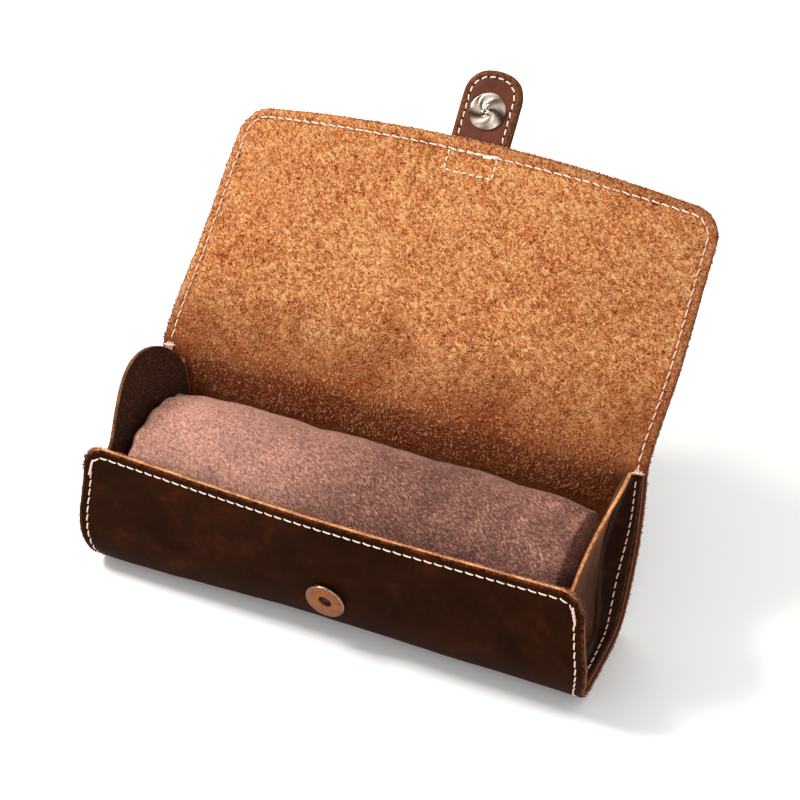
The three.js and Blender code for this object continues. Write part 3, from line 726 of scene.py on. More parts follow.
def leather_faces(x, s, edge):
    """Depths of the outer and inner faces: seam furrow, rounded edges and suede lumps."""
    t = s - S_HINGE
    rounded, seam, rim = hump(np.clip(edge, 0, None), 0.5), hump(edge - SEAM_IN, 0.9), hump(edge, 2.0)
    dent = 0.45 * hump(np.hypot(x - SOCKET_SHIFT, s - S_SOCKET) - DENT_R, 2.2)
    outer = 0.5 * rounded + 0.28 * seam + dent - 0.12 * waves(x, s, 9, 21) \
        - 0.05 * waves(x, s, 3.1, 22)
    under_flange = smooth((np.abs(x) - 93) / 2) * (1 - smooth((t + 1) / 4)) * smooth(s - s_front(54))
    u, v = 0.87 * x - 0.5 * s, 0.5 * x + 0.87 * s
    lumps = 0.85 * waves(u * 0.6, v, 1.05, 31) + 0.6 * waves(u, v * 0.7, 0.95, 32) \
        + 0.12 * waves(x, s, 3.4, 33)
    strength = 0.18 + 0.14 * smooth(t / 10)
    inner = LEATHER + (1 - under_flange) * (strength * lumps - 0.45 * rounded - 0.3 * seam * smooth(t / 6)
                                            + 0.15 * rim)
    return outer, inner


def wrap_piece(name, rows, front, free):
    """One piece of the wrap. The front and free ones have a raw edge across, and all at their sides."""
    columns = wrap_columns()
    s = rows[:, None] + 0 * columns
    x = columns * (row_extent(rows) / HALF)[:, None]
    edge = np.clip(edge_distance(x, s), 0, None)
    bent = bowed(x, s)
    soup = two_faces(place, x, bent, *leather_faces(x, s, edge), edge)
    r, c = x.shape
    left, right = np.arange(r) * c, np.arange(r) * c + c - 1
    across = np.arange(1, c - 1)
    if front:
        paths = [np.r_[left[::-1], across, right]]
    elif free:
        paths = [np.r_[left, (r - 1) * c + across, right[::-1]]]
    else:
        paths = [left, right]
    for path in paths:
        close_rim(soup, path, path + r * c)
        edge_fibres(soup, x.ravel()[path], bent.ravel()[path], int(rows[0]) + int(path[0]))
    nap_fibres(soup, rows, int(rows[0]))
    return soup.build(name, [OUTER, SUEDE, RAW, NAP, RAW])


def fibres(soup, x, s, h, angle, rise, length, slot, rng):
    """Short bent fibres rooted at the given places of the layout. Each is a closed spike."""
    n = len(x)
    curl = angle + rng.normal(0, 0.7, n)

    def heading(a, up):
        return np.stack([np.cos(a) * np.cos(up), np.sin(a) * np.cos(up), np.sin(up)], -1)

    half = (length * 0.5)[:, None]
    root = np.stack([x, s, h], -1)
    middle = root + heading(angle, rise) * half
    tip = middle + heading(curl, rise - 0.9) * half
    side = np.stack([-np.sin(angle), np.cos(angle), 0 * angle], -1)
    wide = rng.uniform(0.12, 0.26, n)[:, None]
    rings = [centre + (side * math.cos(a) + np.array((0, 0, math.sin(a)))) * wide * size
             for centre, size in ((root, 1.0), (middle, 0.85)) for a in (0.5, 2.6, 4.7)]
    first = soup.lay(*np.stack(rings + [tip], 1).reshape(-1, 3).T)
    base = first + 7 * np.arange(n)[:, None]
    for face in ((0, 1, 4, 3), (1, 2, 5, 4), (2, 0, 3, 5), (3, 4, 6), (4, 5, 6), (5, 3, 6), (0, 2, 1)):
        soup.join(base + np.array(face), slot)


def nap_fibres(soup, rows, k):
    """Loose fibres on the inner face, most of them low on the lid."""
    rng = np.random.default_rng(500 + k)
    low, high = max(float(rows[0]), s_back(50)), float(rows[-1])
    n = int((high - low) * 2 * HALF * NAP_PER_MM2)
    x, s = rng.uniform(-HALF, HALF, n), rng.uniform(low, high, n)
    t = s - S_HINGE
    dense = 0.24 + 0.62 * smooth(1 - t / 60) * smooth((t + 22) / 10) + 0.2 * waves(x, s, 26, 90)
    inside = (edge_distance(x, s) > 0.5) & ((np.abs(x) < 92) | (t > 4)) & (rng.uniform(0, 1, n) < dense)
    x, s = x[inside], s[inside]
    n = len(x)
    angle = 2.4 * waves(x, s, 30, 91) + 1.6 * waves(x, s, 5, 92) - 0.9 + rng.normal(0, 0.5, n)
    fibres(soup, x, bowed(x, s), np.full(n, LEATHER - 0.05), angle, rng.uniform(0.12, 0.6, n),
           rng.uniform(1.1, 2.5, n), NAP_SLOT, rng)


def edge_fibres(soup, px, ps, k):
    """Fibres that stand out of the raw edge, longest and most along the front."""
    rng = np.random.default_rng(700 + k)
    length = np.r_[0, np.cumsum(np.hypot(np.diff(px), np.diff(ps)))]
    n = int(length[-1] / EDGE_FIBRE_STEP)
    at = rng.uniform(0, length[-1], n)
    s = np.interp(at, length, ps)
    at = at[(s < FRONT_FUZZ) | (rng.uniform(0, 1, n) < np.where(s > S_HINGE, 0.45, 0.2))]
    n = len(at)
    (x, dx), (s, ds) = ((np.interp(at, length, p), np.interp(at + 0.3, length, p)
                         - np.interp(at - 0.3, length, p)) for p in (px, ps))
    angle = np.arctan2(-dx, ds)
    u, v = np.cos(angle), np.sin(angle)
    outside = edge_distance(x + u, s + v) < edge_distance(x - u, s - v)
    angle = np.where(outside, angle, angle + math.pi) + rng.normal(0, 0.6, n)
    front = s < FRONT_FUZZ
    fibres(soup, x, s, rng.uniform(0.5, LEATHER, n), angle, rng.normal(0.25, 0.4, n) + 0.3 * front,
           rng.uniform(0.5, 1.2, n) + 0.9 * front, EDGE_SLOT, rng)


def blend_at(obj):
    """Bakes the transform of a piece of the flap, which joins two bodies, into its mesh."""

    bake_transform(obj)


def wrap():
    for k, rows in enumerate(wrap_rows()):
        name = f"lid_leather_{k + 1}" if k else "wrap_shell"
        obj = wrap_piece(name, rows, front=k == 0, free=k == STRIPS - 1)
        blend_at(obj)
        stands_for(obj, "wrap_leather", None, f"lid_strip_{k + 1}", *([] if k else ["shell_wrap"]))


# ---------------------------------------------------------------- stitches

def walk(points, pitch, closed=False):
    """Even steps along a line: each one's number, middle, direction and true length."""
    p = np.vstack([points, points[:1]]) if closed else np.asarray(points, float)
    length = distances(p)
    count = max(1, int(round(length[-1] / pitch)))
    step = length[-1] / count
    at = (np.arange(count) + 0.5) * step
    middle, ahead, behind = (np.stack([np.interp(at + off, length, p[:, k]) for k in range(2)], -1)
                             for off in (0, 0.4, -0.4))
    direction = ahead - behind
    return zip(range(count), middle, direction / np.linalg.norm(direction, axis=1)[:, None], [step] * count)


def stitch(soup, middle, direction, length, face, out, slant=0.0, radius=0.31, sink=0.75):
    """One stitch: a thread that rises out of the leather, lies along it and dives back in."""
    rings, sides = 9, 7
    u = np.linspace(-1, 1, rings)[:, None]
    angle = circle(sides)[None, :]
    thin = np.sqrt(np.clip(1 - np.abs(u) ** 5, 0.05, 1))
    along = u * length / 2 + 0 * angle
    lateral = radius * thin * np.cos(angle) + slant * u
    rise = radius * 0.55 - sink * np.abs(u) ** 4 + radius * 0.8 * thin * np.sin(angle)
    x = middle[0] + along * direction[0] + lateral * -direction[1]
    s = middle[1] + along * direction[1] + lateral * direction[0]
    first = soup.lay(x, s, face - out * rise, grid_faces(rings, sides, closed=True, flip=out < 0))
    ring = first + np.arange(sides)
    for end in (ring, ring[::-1] + (rings - 1) * sides):
        soup.join([end[::-1] if out > 0 else end], 0)


def hole(soup, at, face, out, radius=0.42):
    """The needle hole between two stitches, in a dark material that paints the shade inside it."""
    sides = 8
    angle = circle(sides)
    size, rise = np.array([(1.0, -0.12), (0.8, 0.06), (0.35, 0.02)]).T[..., None]
    first = soup.lay(at[0] + radius * size * np.cos(angle), at[1] + radius * size * np.sin(angle),
                     face - out * rise, grid_faces(3, sides, closed=True, flip=out > 0), 1)
    last = first + np.arange(2 * sides, 3 * sides)
    soup.join([last if out > 0 else last[::-1]], 1)


def seam_drop(right, s):
    """How far the right side's seam is drawn in, where the back wall starts."""
    return 2.0 * right * hump(s - s_back(16), 24)


def seam_line():
    """The seam round the whole wrap, in the flat layout, from one front corner to the other."""
    turn = np.linspace(0, QUARTER, 14)
    side = np.linspace(FRONT_CORNER, S_CORNER, 160)[1:-1]
    r, lid_r = FRONT_CORNER - SEAM_IN, LID_CORNER - SEAM_IN
    right = np.vstack([
        np.c_[HALF - FRONT_CORNER + r * np.sin(turn), FRONT_CORNER - r * np.cos(turn)],
        np.c_[half_width(side) - SEAM_IN, side],
        np.c_[CORNER_X + lid_r * np.cos(turn), S_CORNER + lid_r * np.sin(turn)]])
    top = np.linspace(CORNER_X, -CORNER_X, 60)[1:-1]
    free = np.c_[top, np.full(len(top), S_HINGE + LID_SIDE - SEAM_IN)]
    line = np.vstack([right, free, right[::-1] * (-1, 1)])
    line[:, 0] -= seam_drop(line[:, 0] > 90, line[:, 1])
    line[:, 1] = bowed(line[:, 0], line[:, 1])
    return line


def wrap_stitches():
    """The wrap's seam on both faces. Beside the end panels the inner thread lies on their flanges."""
    soups = [Soup() for _ in range(STRIPS)]
    low, high = s_front(53), s_back(68)
    for k, m, d, step in walk(seam_line(), PITCH, closed=True):
        soup = soups[int(np.searchsorted(MIDS, m[1]))]
        wobble = 0.14 * math.sin(k * 2.4)
        stitch(soup, m, d, step * 0.97, 0.14, 1, slant=0.2 + wobble * 0.5)
        hole(soup, m + d * step / 2, 0.24, 1)
        if not low < m[1] < high:
            stitch(soup, m, d, step * 0.98, LEATHER - 0.1, -1, slant=-0.22 + wobble, sink=0.7)
    for side in (-1, 1):
        along = np.linspace(low + 1.0, high - 1.5, 80)
        line = np.c_[side * (HALF - SEAM_IN - seam_drop(side > 0, along)), along]
        for _, m, d, step in walk(line, PITCH):
            stitch(soups[0], m, d, step * 0.92, LEATHER + PANEL + 0.06, -1, slant=-0.16)
            hole(soups[0], m + d * step / 2, LEATHER + PANEL + 0.1, -1)
    knots(soups[0])
    for k, soup in enumerate(soups):
        obj = soup.build(f"lid_stitches_{k + 1}" if k else "shell_stitches", [THREAD, HOLE_SHADE])
        blend_at(obj)
        nodes = [f"lid_thread_{side}_{k + 1}" for side in ("left", "right")] if k < STRIPS - 1 \
            else ["lid_edge_thread"]
        if k == 0:
            nodes += ["front_hem_thread", "side_seam_thread_left", "side_seam_thread_right"]
        stands_for(obj, "thread", None, *nodes)


def knots(soup):
    """Back-stitched bar tacks at the flange tops, in front and behind, on both ends."""
    def tack(x, s, direction, length, face, out, **more):
        stitch(soup, np.array((x, s)), np.array(direction), length, face, out, **more)

    for side in (-1, 1):
        x = side * (HALF - SEAM_IN)
        for k in range(4):
            tack(x + side * (k - 1.5) * 0.3, s_front(52) + 1.6 * k - 2.0, (0.12 * side, 1.0), 3.4,
                 0.0, 1, slant=0.3, radius=0.42)
        for k in range(3):
            tack(x + side * (k - 1) * 1.1, s_back(66.5), (0.25 / 1.03, 1.0 / 1.03), 3.6,
                 LEATHER + 0.6, -1, slant=0.2, radius=0.42)
        tack(x, s_back(67.5), (1.0, 0.1), 5.4, LEATHER + 0.9, -1, radius=0.4)


# ---------------------------------------------------------------- end panels

def end_panel(side, name):
    """One end: a web with its tongue, and a flange that turns outwards along the wrap."""
    s = np.linspace(s_front(54), s_back(63.5 if side < 0 else 67.5), 120)
    soup, m = Soup(), len(s)
    for thick, web_slot, flange_slot in ((0.0, 0, 3), (PANEL, 1, 0)):
        rings, shares = web_rings(side, s, thick)
        count, n = rings.shape[:2]
        flip = (side > 0) == (thick > 0)
        edge = np.broadcast_to(((1 - shares) * WEB_REACH)[:, None], (count, n)).copy()
        edge[:, :m] = FAR
        flat = rings[..., [1, 2, 0]]
        first = soup.add(rings * MM, flat, grid_faces(count, n, closed=True, flip=flip), web_slot, edge)
        hub = soup.add(rings[0].mean(0) * MM, flat[0].mean(0))
        fan = np.array([[hub, first + (k + 1) % n, first + k] for k in range(n)])
        soup.join(fan[:, ::-1] if flip else fan, web_slot)
        panel_flange(soup, side, s, thick, first + (count - 1) * n + np.arange(m), flip, flange_slot)
    # the cut edge runs round the tongue and the flange, from one face to the other
    layer = soup.count // 2
    outer_ring, flange = (count - 1) * n, count * n + 1
    column = flange + np.arange((layer - flange) // m) * m
    loop = np.r_[outer_ring + np.arange(m - 1, n), outer_ring, column, column[-1] + np.arange(1, m),
                 (column + m - 1)[::-1][1:]]
    close_rim(soup, loop, loop + layer, closed=True, bulge=0.2)
    obj = soup.build(name, [PANEL_OUT, PANEL_IN, RAW_TAN if side > 0 else RAW_BROWN, FLANGE])
    stands_for(obj, "panel_leather", "base", name.replace("_leather", ""))


def web_x(side, y, z, thick=0.0):
    """Where the end's web is along X: it sags inwards at the back, and its tongue leans outwards."""
    up = np.clip((z - 54) / 30, 0, 1.1)
    sag = SAG[side] * smooth((y - 2) / 30) * hump(z - SAG_AT[side], 32)
    return side * (WEB_X - thick + LEAN[side] * up ** 1.5 - sag) + 0.5 * waves(y, z, 24, 50 + side) \
        + 0.12 * waves(y, z, 6, 52 + side)


def web_rim(side, s, thick):
    """The line where the web turns into the flange, and its own x in the flat layout."""
    rim = place(np.full(len(s), side * (WEB_X - thick)), s, FLANGE_H + BEND) / MM
    rim[:, 0] = web_x(side, rim[:, 1], rim[:, 2], thick)
    return rim, side * (rim[:, 0] - slide(rim[:, 0], s))


def web_rings(side, s, thick):
    """Rings from the middle of the web out to its bend and its tongue's edge, and their sizes."""
    rim, _ = web_rim(side, s, thick)
    ends = [tuple(rim[-1, 1:])] + TONGUE_POINTS[side][::-1] + [tuple(rim[0, 1:])]
    line = np.vstack([rim[:, 1:], spline(ends, 1.2)[1:-1]])
    middle = np.array(WEB_MIDDLE)
    shares = np.r_[np.linspace(0.05, 0.92, 22), 0.955, 0.98, 0.993, 1.0]
    y, z = np.moveaxis(middle + (line - middle) * shares[:, None, None], -1, 0)
    rings = np.stack([web_x(side, y, z, thick), y, z], -1)
    round_off = side * (PANEL_ROUND if thick else -PANEL_ROUND)
    rings[-1, len(s):, 0] += round_off
    rings[-2, len(s):, 0] += round_off * 0.25
    return rings, shares


def panel_flange(soup, side, s, thick, before, flip, slot):
    """A round bend out of the web, then the flange along the wrap's inner face."""
    start = web_rim(side, s, thick)[1] + thick
    r, h_flat = BEND + thick, FLANGE_H - thick
    rows = [(start + BEND - r * math.cos(a), FLANGE_H + BEND - r * math.sin(a))
            for a in np.linspace(0, QUARTER, 8)[1:]]
    rows += [(start + BEND + (FLANGE_X - start - BEND) * share, h_flat) for share in (0.2, 0.4, 0.6, 0.8, 0.92)]
    rows.append((start * 0 + FLANGE_X, h_flat + (PANEL_ROUND if thick else -PANEL_ROUND)))
    for x, h in rows:
        uneven = 0.12 * waves(s, x, 7, 61) * (thick == 0)
        flat = np.stack([x, s, np.full(len(s), h)], -1)
        after = soup.add(place(side * x, s, h + uneven), flat, edge=FLANGE_X - x) + np.arange(len(s))
        soup.bridge(before, after, slot, flip)
        before = after


# ---------------------------------------------------------------- cushion

def apply_modifiers(obj):
    graph = bpy.context.evaluated_depsgraph_get()
    mesh = bpy.data.meshes.new_from_object(obj.evaluated_get(graph), depsgraph=graph)
    obj.modifiers.clear()
    old, obj.data = obj.data, mesh
    bpy.data.meshes.remove(old)


def coordinates(obj):
    co = np.empty(len(obj.data.vertices) * 3, np.float32)
    obj.data.vertices.foreach_get("co", co)
    return co.reshape(-1, 3).astype(float)


def set_coordinates(obj, co):
    obj.data.vertices.foreach_set("co", co.astype(np.float32).ravel())
    obj.data.update()


def inner_limit(angle, clear):
    """How far from the cushion's middle line the wrap's inner face is, for each angle."""
    y, z = (LINE[LINE_S < S_HINGE] - CUSHION_AT[1:]).T
    a, r = np.arctan2(z, y), np.hypot(y, z) - LEATHER - clear
    order = np.argsort(a)
    to_hinge = HINGE - CUSHION_AT[1:]
    open_top = (angle > np.arctan2(to_hinge[1], to_hinge[0])) & (angle < 2.55)
    return np.where(open_top, 99.0, np.interp(angle, a[order], r[order], period=2 * math.pi))


def cushion_form():
    """The cushion before its filling swells it: a rounded roll that fits the wrap."""
    n = 96
    angle = np.linspace(-math.pi, math.pi, n, endpoint=False)
    ry, rz = CUSHION_HALF[1] + 0.2, CUSHION_HALF[2] - 1.2
    power = 2.2 + 1.0 * smooth((np.cos(angle) + 0.5) / 0.9) * smooth((np.sin(angle) + 0.2) / 0.5)
    r = (np.abs(np.cos(angle) / ry) ** power + np.abs(np.sin(angle) / rz) ** power) ** (-1 / power)
    top = (angle > 0.2) & (angle < math.pi - 0.2)
    r = np.minimum(r, inner_limit(angle, 2.6) + 3 * top)
    end = CUSHION_HALF[0] - 0.8
    turn = np.linspace(0, QUARTER, 9)
    inset, narrow = CUSHION_ROUND * (1 - np.sin(turn)), 1 - (1 - np.cos(turn)) * CUSHION_ROUND / 30
    inside = np.linspace(-end + CUSHION_ROUND, end - CUSHION_ROUND, 70)[1:-1]
    x = np.r_[(-end + inset)[::-1], inside, end - inset][:, None]
    scale = np.r_[narrow[::-1], np.ones(len(inside)), narrow][:, None]
    rings = np.stack([x + 0 * angle, CUSHION_AT[1] + r * scale * np.cos(angle),
                      CUSHION_AT[2] + r * scale * np.sin(angle)], -1)
    soup = Soup()
    soup.add(rings * MM, rings, grid_faces(len(rings), n, closed=True))
    soup.join([np.arange(n), (len(rings) - 1) * n + np.arange(n)[::-1]], 0)
    return soup.build("cushion", [CLOTH])


def swell(obj):
    """Fills the cloth: remesh, cloth simulation, and a limit on how far each point moves."""
    frames, most = 20, 3.0 * MM
    remesh = obj.modifiers.new("even", "REMESH")
    remesh.mode = "VOXEL"
    remesh.voxel_size = 4.5 * MM
    apply_modifiers(obj)
    before = coordinates(obj)
    cloth = obj.modifiers.new("fill", "CLOTH")
    for key, value in dict(
            use_pressure=True, uniform_pressure_force=4.0, quality=6, mass=0.2, tension_stiffness=12,
            compression_stiffness=12, shear_stiffness=6, bending_stiffness=0.4).items():
        setattr(cloth.settings, key, value)
    cloth.settings.effector_weights.gravity = 0
    cloth.point_cache.frame_start, cloth.point_cache.frame_end = 1, frames
    for frame_number in range(1, frames + 1):
        SCENE.frame_set(frame_number)
    apply_modifiers(obj)
    SCENE.frame_set(1)
    move = coordinates(obj) - before
    limit = np.minimum(1, most / np.maximum(np.linalg.norm(move, axis=1), 1e-9))
    set_coordinates(obj, before + move * limit[:, None])
    for _ in range(2):
        sub = obj.modifiers.new("fine", "SUBSURF")
        sub.levels = sub.render_levels = 1
        apply_modifiers(obj)


def cushion():
    obj = cushion_form()
    swell(obj)
    x, y, z = coordinates(obj).T / MM
    dy, dz = y - CUSHION_AT[1], z - CUSHION_AT[2]
    angle, r = np.arctan2(dz, dy), np.hypot(dy, dz)
    # gathers: folds that run in from the two ends, deeper on the left
    left, right = smooth((-x - 62) / 30), smooth((x - 70) / 22)
    folds = np.sin(angle * 17 + 0.05 * x + 1.6 * waves(x, angle * 20, 16, 71))
    lumps = waves(x, angle * 26, 17, 72) + 0.6 * waves(x, angle * 26, 8, 73)
    r = r - left * (0.5 * (folds + 1)) - right * (0.4 * (folds + 1)) + lumps * (0.5 + 0.5 * left)
    # the seam where the cover's long edges meet, along the front under the rim
    r = r - 0.9 * hump(angle - math.pi * 0.86, 0.035)
    # a loose roll of cloth at the back of the right end, and the dip in front of it
    r = r + 1.5 * (hump(x - 78, 11) * hump(angle - 1.02, 0.16)) \
        - 1.2 * (hump(x - 72, 12) * hump(angle - 1.34, 0.14))
    # the end discs' seams, and small wrinkles all over
    r = r + 0.7 * hump(np.abs(x) - 89.5, 1.3)
    r = r + 0.16 * waves(x, angle * 30, 4.5, 74)
    # lower at the back of both ends, and clear of the wrap and the end webs
    ends = smooth((np.abs(x + 4) - 38) / 55) * hump(angle - 0.8, 0.6)
    r = np.minimum(r - 3.2 * ends, inner_limit(angle, 0.5))
    y, z = CUSHION_AT[1] + r * np.cos(angle), CUSHION_AT[2] + r * np.sin(angle)
    x = np.clip(x, np.maximum(-CUSHION_END - 1, web_x(-1, y, z, PANEL) + 0.35),
                np.minimum(CUSHION_END + 1, web_x(1, y, z, PANEL) - 0.35))
    set_coordinates(obj, np.c_[x, y, z] * MM)
    obj.data.shade_smooth()
    stands_for(obj, "cushion_cloth", "base",
               "cushion_cover", "cushion_foam", "cushion_end_disc_left", "cushion_end_disc_right")


# ---------------------------------------------------------------- strap

def strap_place(x, t, h):
    """The strap's own layout: t up the lid from its hinge line."""
    return place(x + STRAP_SHIFT, S_HINGE + t, h + 0.0011 * np.clip(t - LID_MIDDLE, 0, None) ** 2)


def strap_layer(name, low, high, inset, start, materials, node):
    """One layer of the strap, with rounded raw edges and a superellipse for its tip."""
    turn = np.linspace(0, QUARTER, 14)
    half = STRAP_HALF - inset
    rows = np.r_[np.linspace(start, TIP_CENTRE, 40), TIP_CENTRE + half * np.sin(turn)[1:]]
    c = np.r_[-1, -0.985, -0.95, np.linspace(-0.9, 0.9, 30), 0.95, 0.985, 1]
    over = np.clip(rows - TIP_CENTRE, 0, half) / half
    extent = half * np.clip(1 - over ** TIP_POWER, 0, None) ** (1 / TIP_POWER)
    x = np.maximum(extent, 0.02)[:, None] * c
    t = rows[:, None] + 0 * c
    reach = (np.abs(x) ** TIP_POWER + np.clip(t - TIP_CENTRE, 0, None) ** TIP_POWER) ** (1 / TIP_POWER)
    edge = np.clip(np.minimum(half - reach, t - start + 0.3), 0, None)
    rounded = hump(edge, 0.4)
    seam = hump(edge - STRAP_SEAM_IN + inset, 0.7)
    inner = high - 0.35 * rounded - 0.2 * seam + 0.06 * waves(x, t, 3, 81)
    outer = low + 0.35 * rounded + 0.2 * seam + 0.06 * waves(x, t, 3, 82)
    soup = two_faces(strap_place, x, t, outer, inner, edge)
    r, n = x.shape
    left, right = np.arange(r) * n, np.arange(r) * n + n - 1
    loop = np.r_[left[::-1], np.arange(1, n - 1), right, (r - 1) * n + np.arange(n - 2, 0, -1)]
    close_rim(soup, loop, loop + r * n, closed=True, bulge=0.13, ragged=0.06)
    obj = soup.build(name, materials)
    strap_blend(obj)
    stands_for(obj, "strap_leather", None, node, node.replace("strap", "strap_root"))


def strap_blend(obj):
    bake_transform(obj)


def strap():
    lining_in, lining_out, outer_in, outer_out = -0.3, -1.7, -1.75, -3.5
    strap_layer("strap_lining_leather", lining_out, lining_in, 0.25, STRAP_ROOT,
                [STRAP_OUT, LINING, RAW_STRAP], "strap_lining")
    strap_layer("strap_outer_leather", outer_out, outer_in, 0.0, STRAP_ROOT - 0.4,
                [STRAP_OUT, STRAP_OUT, RAW_STRAP], "strap_outer")
    soup = Soup(strap_place)
    r, share = STRAP_HALF - STRAP_SEAM_IN, 2 / TIP_POWER
    turn = np.linspace(math.pi, 0, 30)
    tip = np.c_[np.sign(np.cos(turn)) * np.abs(np.cos(turn)) ** share, np.abs(np.sin(turn)) ** share]
    line = np.vstack([[(-r, LID_MIDDLE + 1.2)], (0, TIP_CENTRE) + r * tip, [(r, LID_MIDDLE + 1.2)]])
    whole = np.vstack([[(-r, STRAP_ROOT + 3)], line, [(r, STRAP_ROOT + 3)]])
    for path, face, out in ((line, lining_in - 0.1, -1), (whole, outer_out + 0.1, 1)):
        for k, m, d, step in walk(path, 3.5):
            wobble = 0.16 * math.sin(k * 1.9)
            stitch(soup, m, d, step * 0.82, face, out, slant=0.15 + wobble)
            hole(soup, m + d * step / 2, face + 0.02 * out, out, radius=0.45)
    obj = soup.build("strap_stitches", [THREAD, HOLE_SHADE])
    strap_blend(obj)
    stands_for(obj, "thread", None, "strap_thread")
    box_stitches()


def box_stitches():
    """The box that sews the strap's root to the lid, seen on the suede and on the strap."""
    soup = Soup(strap_place)
    half, high = 10.25, LID_MIDDLE - 5.3
    low = high - 8.5
    box = [(-half, high), (-half, low), (half, low), (half, high), (-half, high)]
    for a, b in zip(box[:-1], box[1:]):
        for k, m, d, step in walk(np.array([a, b]), 3.3):
            wobble = 0.2 * math.sin(k * 2.7 + a[0])
            stitch(soup, m, d, step * 0.86, LEATHER - 0.14, -1, slant=wobble, radius=0.34)
            stitch(soup, m, d, step * 0.82, -3.4, 1, slant=0.15)
    for k in range(3):
        middle = np.array((6.0 + 1.2 * k, high + 0.5 * (k - 1)))
        stitch(soup, middle, np.array((1.0, 0.08 * k)), 4.2, LEATHER - 0.1, -1, radius=0.42)
    obj = soup.build("strap_box_stitches", [THREAD, HOLE_SHADE])
    stands_for(obj, "thread", "lid_7", "strap_box_thread")


# ---------------------------------------------------------------- turned pieces

def lathe(name, profile, materials, centre, axis, arms=0, segments=96, ring=False, second_from=None):
    """A turned piece about an axis, in metres. With arms, its face has a swirl of facets that winds to
    the middle. The profile's spans from second_from on are in the second material."""
    profile = np.array(profile, float)
    angle = circle(segments)
    r, z = profile[:, :1] + 0 * angle, profile[:, 1:] + 0 * angle
    if arms:
        swirl = (angle * arms / (2 * math.pi) + 1.5 * np.log(np.maximum(r, 0.6))) % 1.0
        swirl = np.where(swirl < 0.8, swirl / 0.8, (1 - swirl) / 0.2)
        z = z + 0.2 * (swirl - 0.5) * smooth((r - 0.5) / 1.2) * smooth((STUD_R - 0.5 - r) / 0.6)
    points = np.stack([r * np.cos(angle), r * np.sin(angle), z], -1)
    soup = Soup()
    soup.add(points * MM, points)
    quads = grid_faces(len(profile), segments, closed=True)
    first = len(quads) if second_from is None else second_from * segments
    soup.join(quads[:first], 0)
    soup.join(quads[first:], 1)
    last = (len(profile) - 1) * segments
    around = np.arange(segments)
    if ring:
        around = np.r_[around, 0]
        soup.bridge(last + around, around, 0)
    else:
        soup.join([around[::-1]], 0)
        soup.join([last + around], 0 if second_from is None else 1)
    obj = soup.build(name, materials)
    turn = Vector((0, 0, 1)).rotation_difference(Vector(axis)).to_matrix().to_4x4()
    obj.data.transform(Matrix.Translation(Vector(centre)) @ turn)
    return obj


def snaps():
    """The snap's stud and socket. Their profiles' points are (radius, height above the leather)."""
    # the stud's face is cut finely, for the swirl
    a, b, cuts = (STUD_R - 0.45, 0.78), (1.9, 1.0), 18
    face = [a] + [(a[0] + (b[0] - a[0]) * k / cuts, a[1] + (b[1] - a[1]) * k / cuts)
                  for k in range(1, cuts + 1)]
    profile = [(1.2, 0.0), (STUD_R - 0.2, 0.0), (STUD_R, 0.15), (STUD_R, 0.5), (STUD_R - 0.15, 0.72)] + face \
        + [(1.75, 1.15), (1.6, 2.1), (1.35, 2.35), (0.9, 2.3), (0.75, 1.7), (0.2, 1.6)]
    at = (strap_place(0.0, STUD_T, -0.28), np.r_[0, -LID_OUT])
    stud = lathe("snap_stud_turned", profile, [SWIRL], *at, arms=6, segments=210)
    backing = lathe("snap_stud_backing", [(1.6, -1.75), (5, -1.75), (5, -1.25), (1.6, -1.25)], [NICKEL], *at,
                    ring=True)
    stands_for(stud, "nickel", "strap", "snap_stud")
    stands_for(backing, "nickel", "strap", "snap_stud_plate")
    rim = SOCKET_R
    body = [(1.0, -2.6), (5.9, -2.6), (5.9, 0.0), (rim - 0.25, 0.0), (rim, 0.2), (rim, 1.25), (rim - 0.1, 1.5),
            (rim - 0.22, 1.56), (rim - 0.3, 1.5), (rim - 0.34, 1.0), (5.4, 1.0), (5.3, -2.2), (1.0, -2.2)]
    plate = [(0.4, -1.75), (2.85, -1.75), (2.88, 1.02), (rim - 0.4, 1.02), (rim - 0.4, 1.45), (rim - 0.55, 1.6),
             (3.1, 1.6), (2.8, 1.5), (2.65, 1.25), (2.6, 0.4), (2.55, -1.4), (0.4, -1.5)]
    magnet = [(2.95, -1.9), (5.1, -1.9), (5.1, 0.9), (2.95, 0.9)]
    washer = [(6.2, -2.85), (7.2, -2.85), (7.2, -2.5), (6.2, -2.5)]
    down = place(0.0, S_SOCKET - 4, 0.0) - place(0.0, S_SOCKET + 4, 0.0)
    normal = np.array((0, -down[2], down[1]))
    here = place(0.0, S_SOCKET, 0.0) + np.array(((SOCKET_AT[0] + SOCKET_SHIFT) * MM, 0, 0))
    for name, shape, materials, options, node, slot in (
            ("snap_socket_cup", body, [NICKEL], {}, "snap_socket_housing", "nickel"),
            ("snap_socket_plate", plate, [COPPER, WELL_SHADE], {"second_from": 9},
             "snap_socket_face", "copper_plate"),
            ("snap_socket_ring_magnet", magnet, [MAGNET], {"ring": True}, "snap_socket_magnet", "magnet"),
            ("snap_socket_backing", washer, [NICKEL], {"ring": True}, "snap_socket_washer", "nickel")):
        obj = lathe(name, shape, materials, here, normal / np.linalg.norm(normal), **options)
        stands_for(obj, slot, "base", node)


def core_tube():
    """The wound board tube inside the cushion. Its ends stop short of the sagging end webs."""
    low, high = corners("cushion_core_tube")
    radius, half, wall = (high[1] - low[1]) / 2, min(high[0], TUBE_HALF), 1.6
    shape = [(radius - wall, -half), (radius - 0.3, -half), (radius, -half + 0.3), (radius, half - 0.3),
             (radius - 0.3, half), (radius - wall, half)]
    obj = lathe("cushion_tube", shape, [wound_board()], (low + high) / 2 * MM, (1, 0, 0), ring=True)
    stands_for(obj, "core_tube", "base", "cushion_core_tube")


# ---------------------------------------------------------------- stage and camera

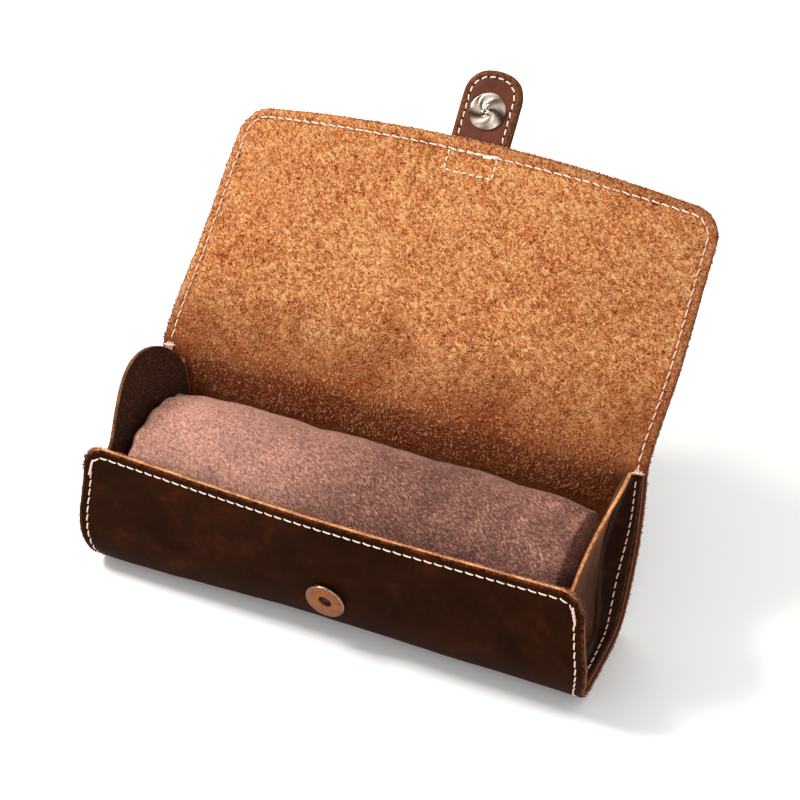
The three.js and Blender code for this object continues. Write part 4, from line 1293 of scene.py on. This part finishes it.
def studio():
    bpy.ops.mesh.primitive_plane_add(size=24, location=(0, 0, 0))
    floor = bpy.context.object
    floor.name = "floor"
    look = Look("floor_paper", Specular_IOR_Level=0.1)
    n = look.noise(look.place(), 300.0, 3)
    look.put(look.mix(n, (0.90, 0.90, 0.90, 1), (0.93, 0.93, 0.93, 1)), look.shader.inputs["Base Color"])
    look.put(0.9, look.shader.inputs["Roughness"])
    floor.data.materials.append(look.material)
    SCENE.world = bpy.data.worlds.new("studio")
    SCENE.world.use_nodes = True
    background = SCENE.world.node_tree.nodes["Background"]
    background.inputs[0].default_value = (1.0, 0.99, 0.97, 1)
    background.inputs[1].default_value = 0.79
    for name, at, size, watts, colour in (
            ("key", (-0.68, -0.10, 0.98), 0.32, 14.2, (1.0, 0.97, 0.92)),
            ("fill", (0.5, -1.0, 0.6), 0.9, 4.4, (0.98, 0.98, 1.0)),
            ("rim", (-0.2, 0.9, 0.9), 0.6, 4, (1.0, 0.98, 0.95))):
        light = bpy.data.lights.new(name, "AREA")
        light.size, light.energy, light.color = size, watts, colour
        obj = bpy.data.objects.new(name, light)
        obj.location = at
        obj.rotation_euler = (Vector((0, 0.02, 0.05)) - Vector(at)).to_track_quat("-Z", "Y").to_euler()
        SCENE.collection.objects.link(obj)
    SCENE.view_settings.view_transform = "Standard"
    SCENE.view_settings.look = "None"


def camera():
    """The photograph's view: turned and raised by these angles about the target, then shifted."""
    a, e, distance = math.radians(24), math.radians(38), 0.7834
    target, shift_right, shift_up = Vector((0, 0, 0.040)), 0.01684, 0.04465
    back = Vector((math.sin(a) * math.cos(e), -math.cos(a) * math.cos(e), math.sin(e)))
    right = Vector((math.cos(a), math.sin(a), 0))
    up = back.cross(right)
    data = bpy.data.cameras.new("view")
    data.sensor_width, data.lens, data.clip_start = 36, 90, 0.05
    obj = bpy.data.objects.new("view", data)
    obj.location = target + back * distance + right * shift_right + up * shift_up
    obj.rotation_euler = Matrix((right, up, back)).transposed().to_euler()
    SCENE.collection.objects.link(obj)
    SCENE.camera = obj


camera()
wrap()
wrap_stitches()
end_panel(-1, "end_panel_left_leather")
end_panel(1, "end_panel_right_leather")
cushion()
strap()
snaps()
core_tube()
studio()
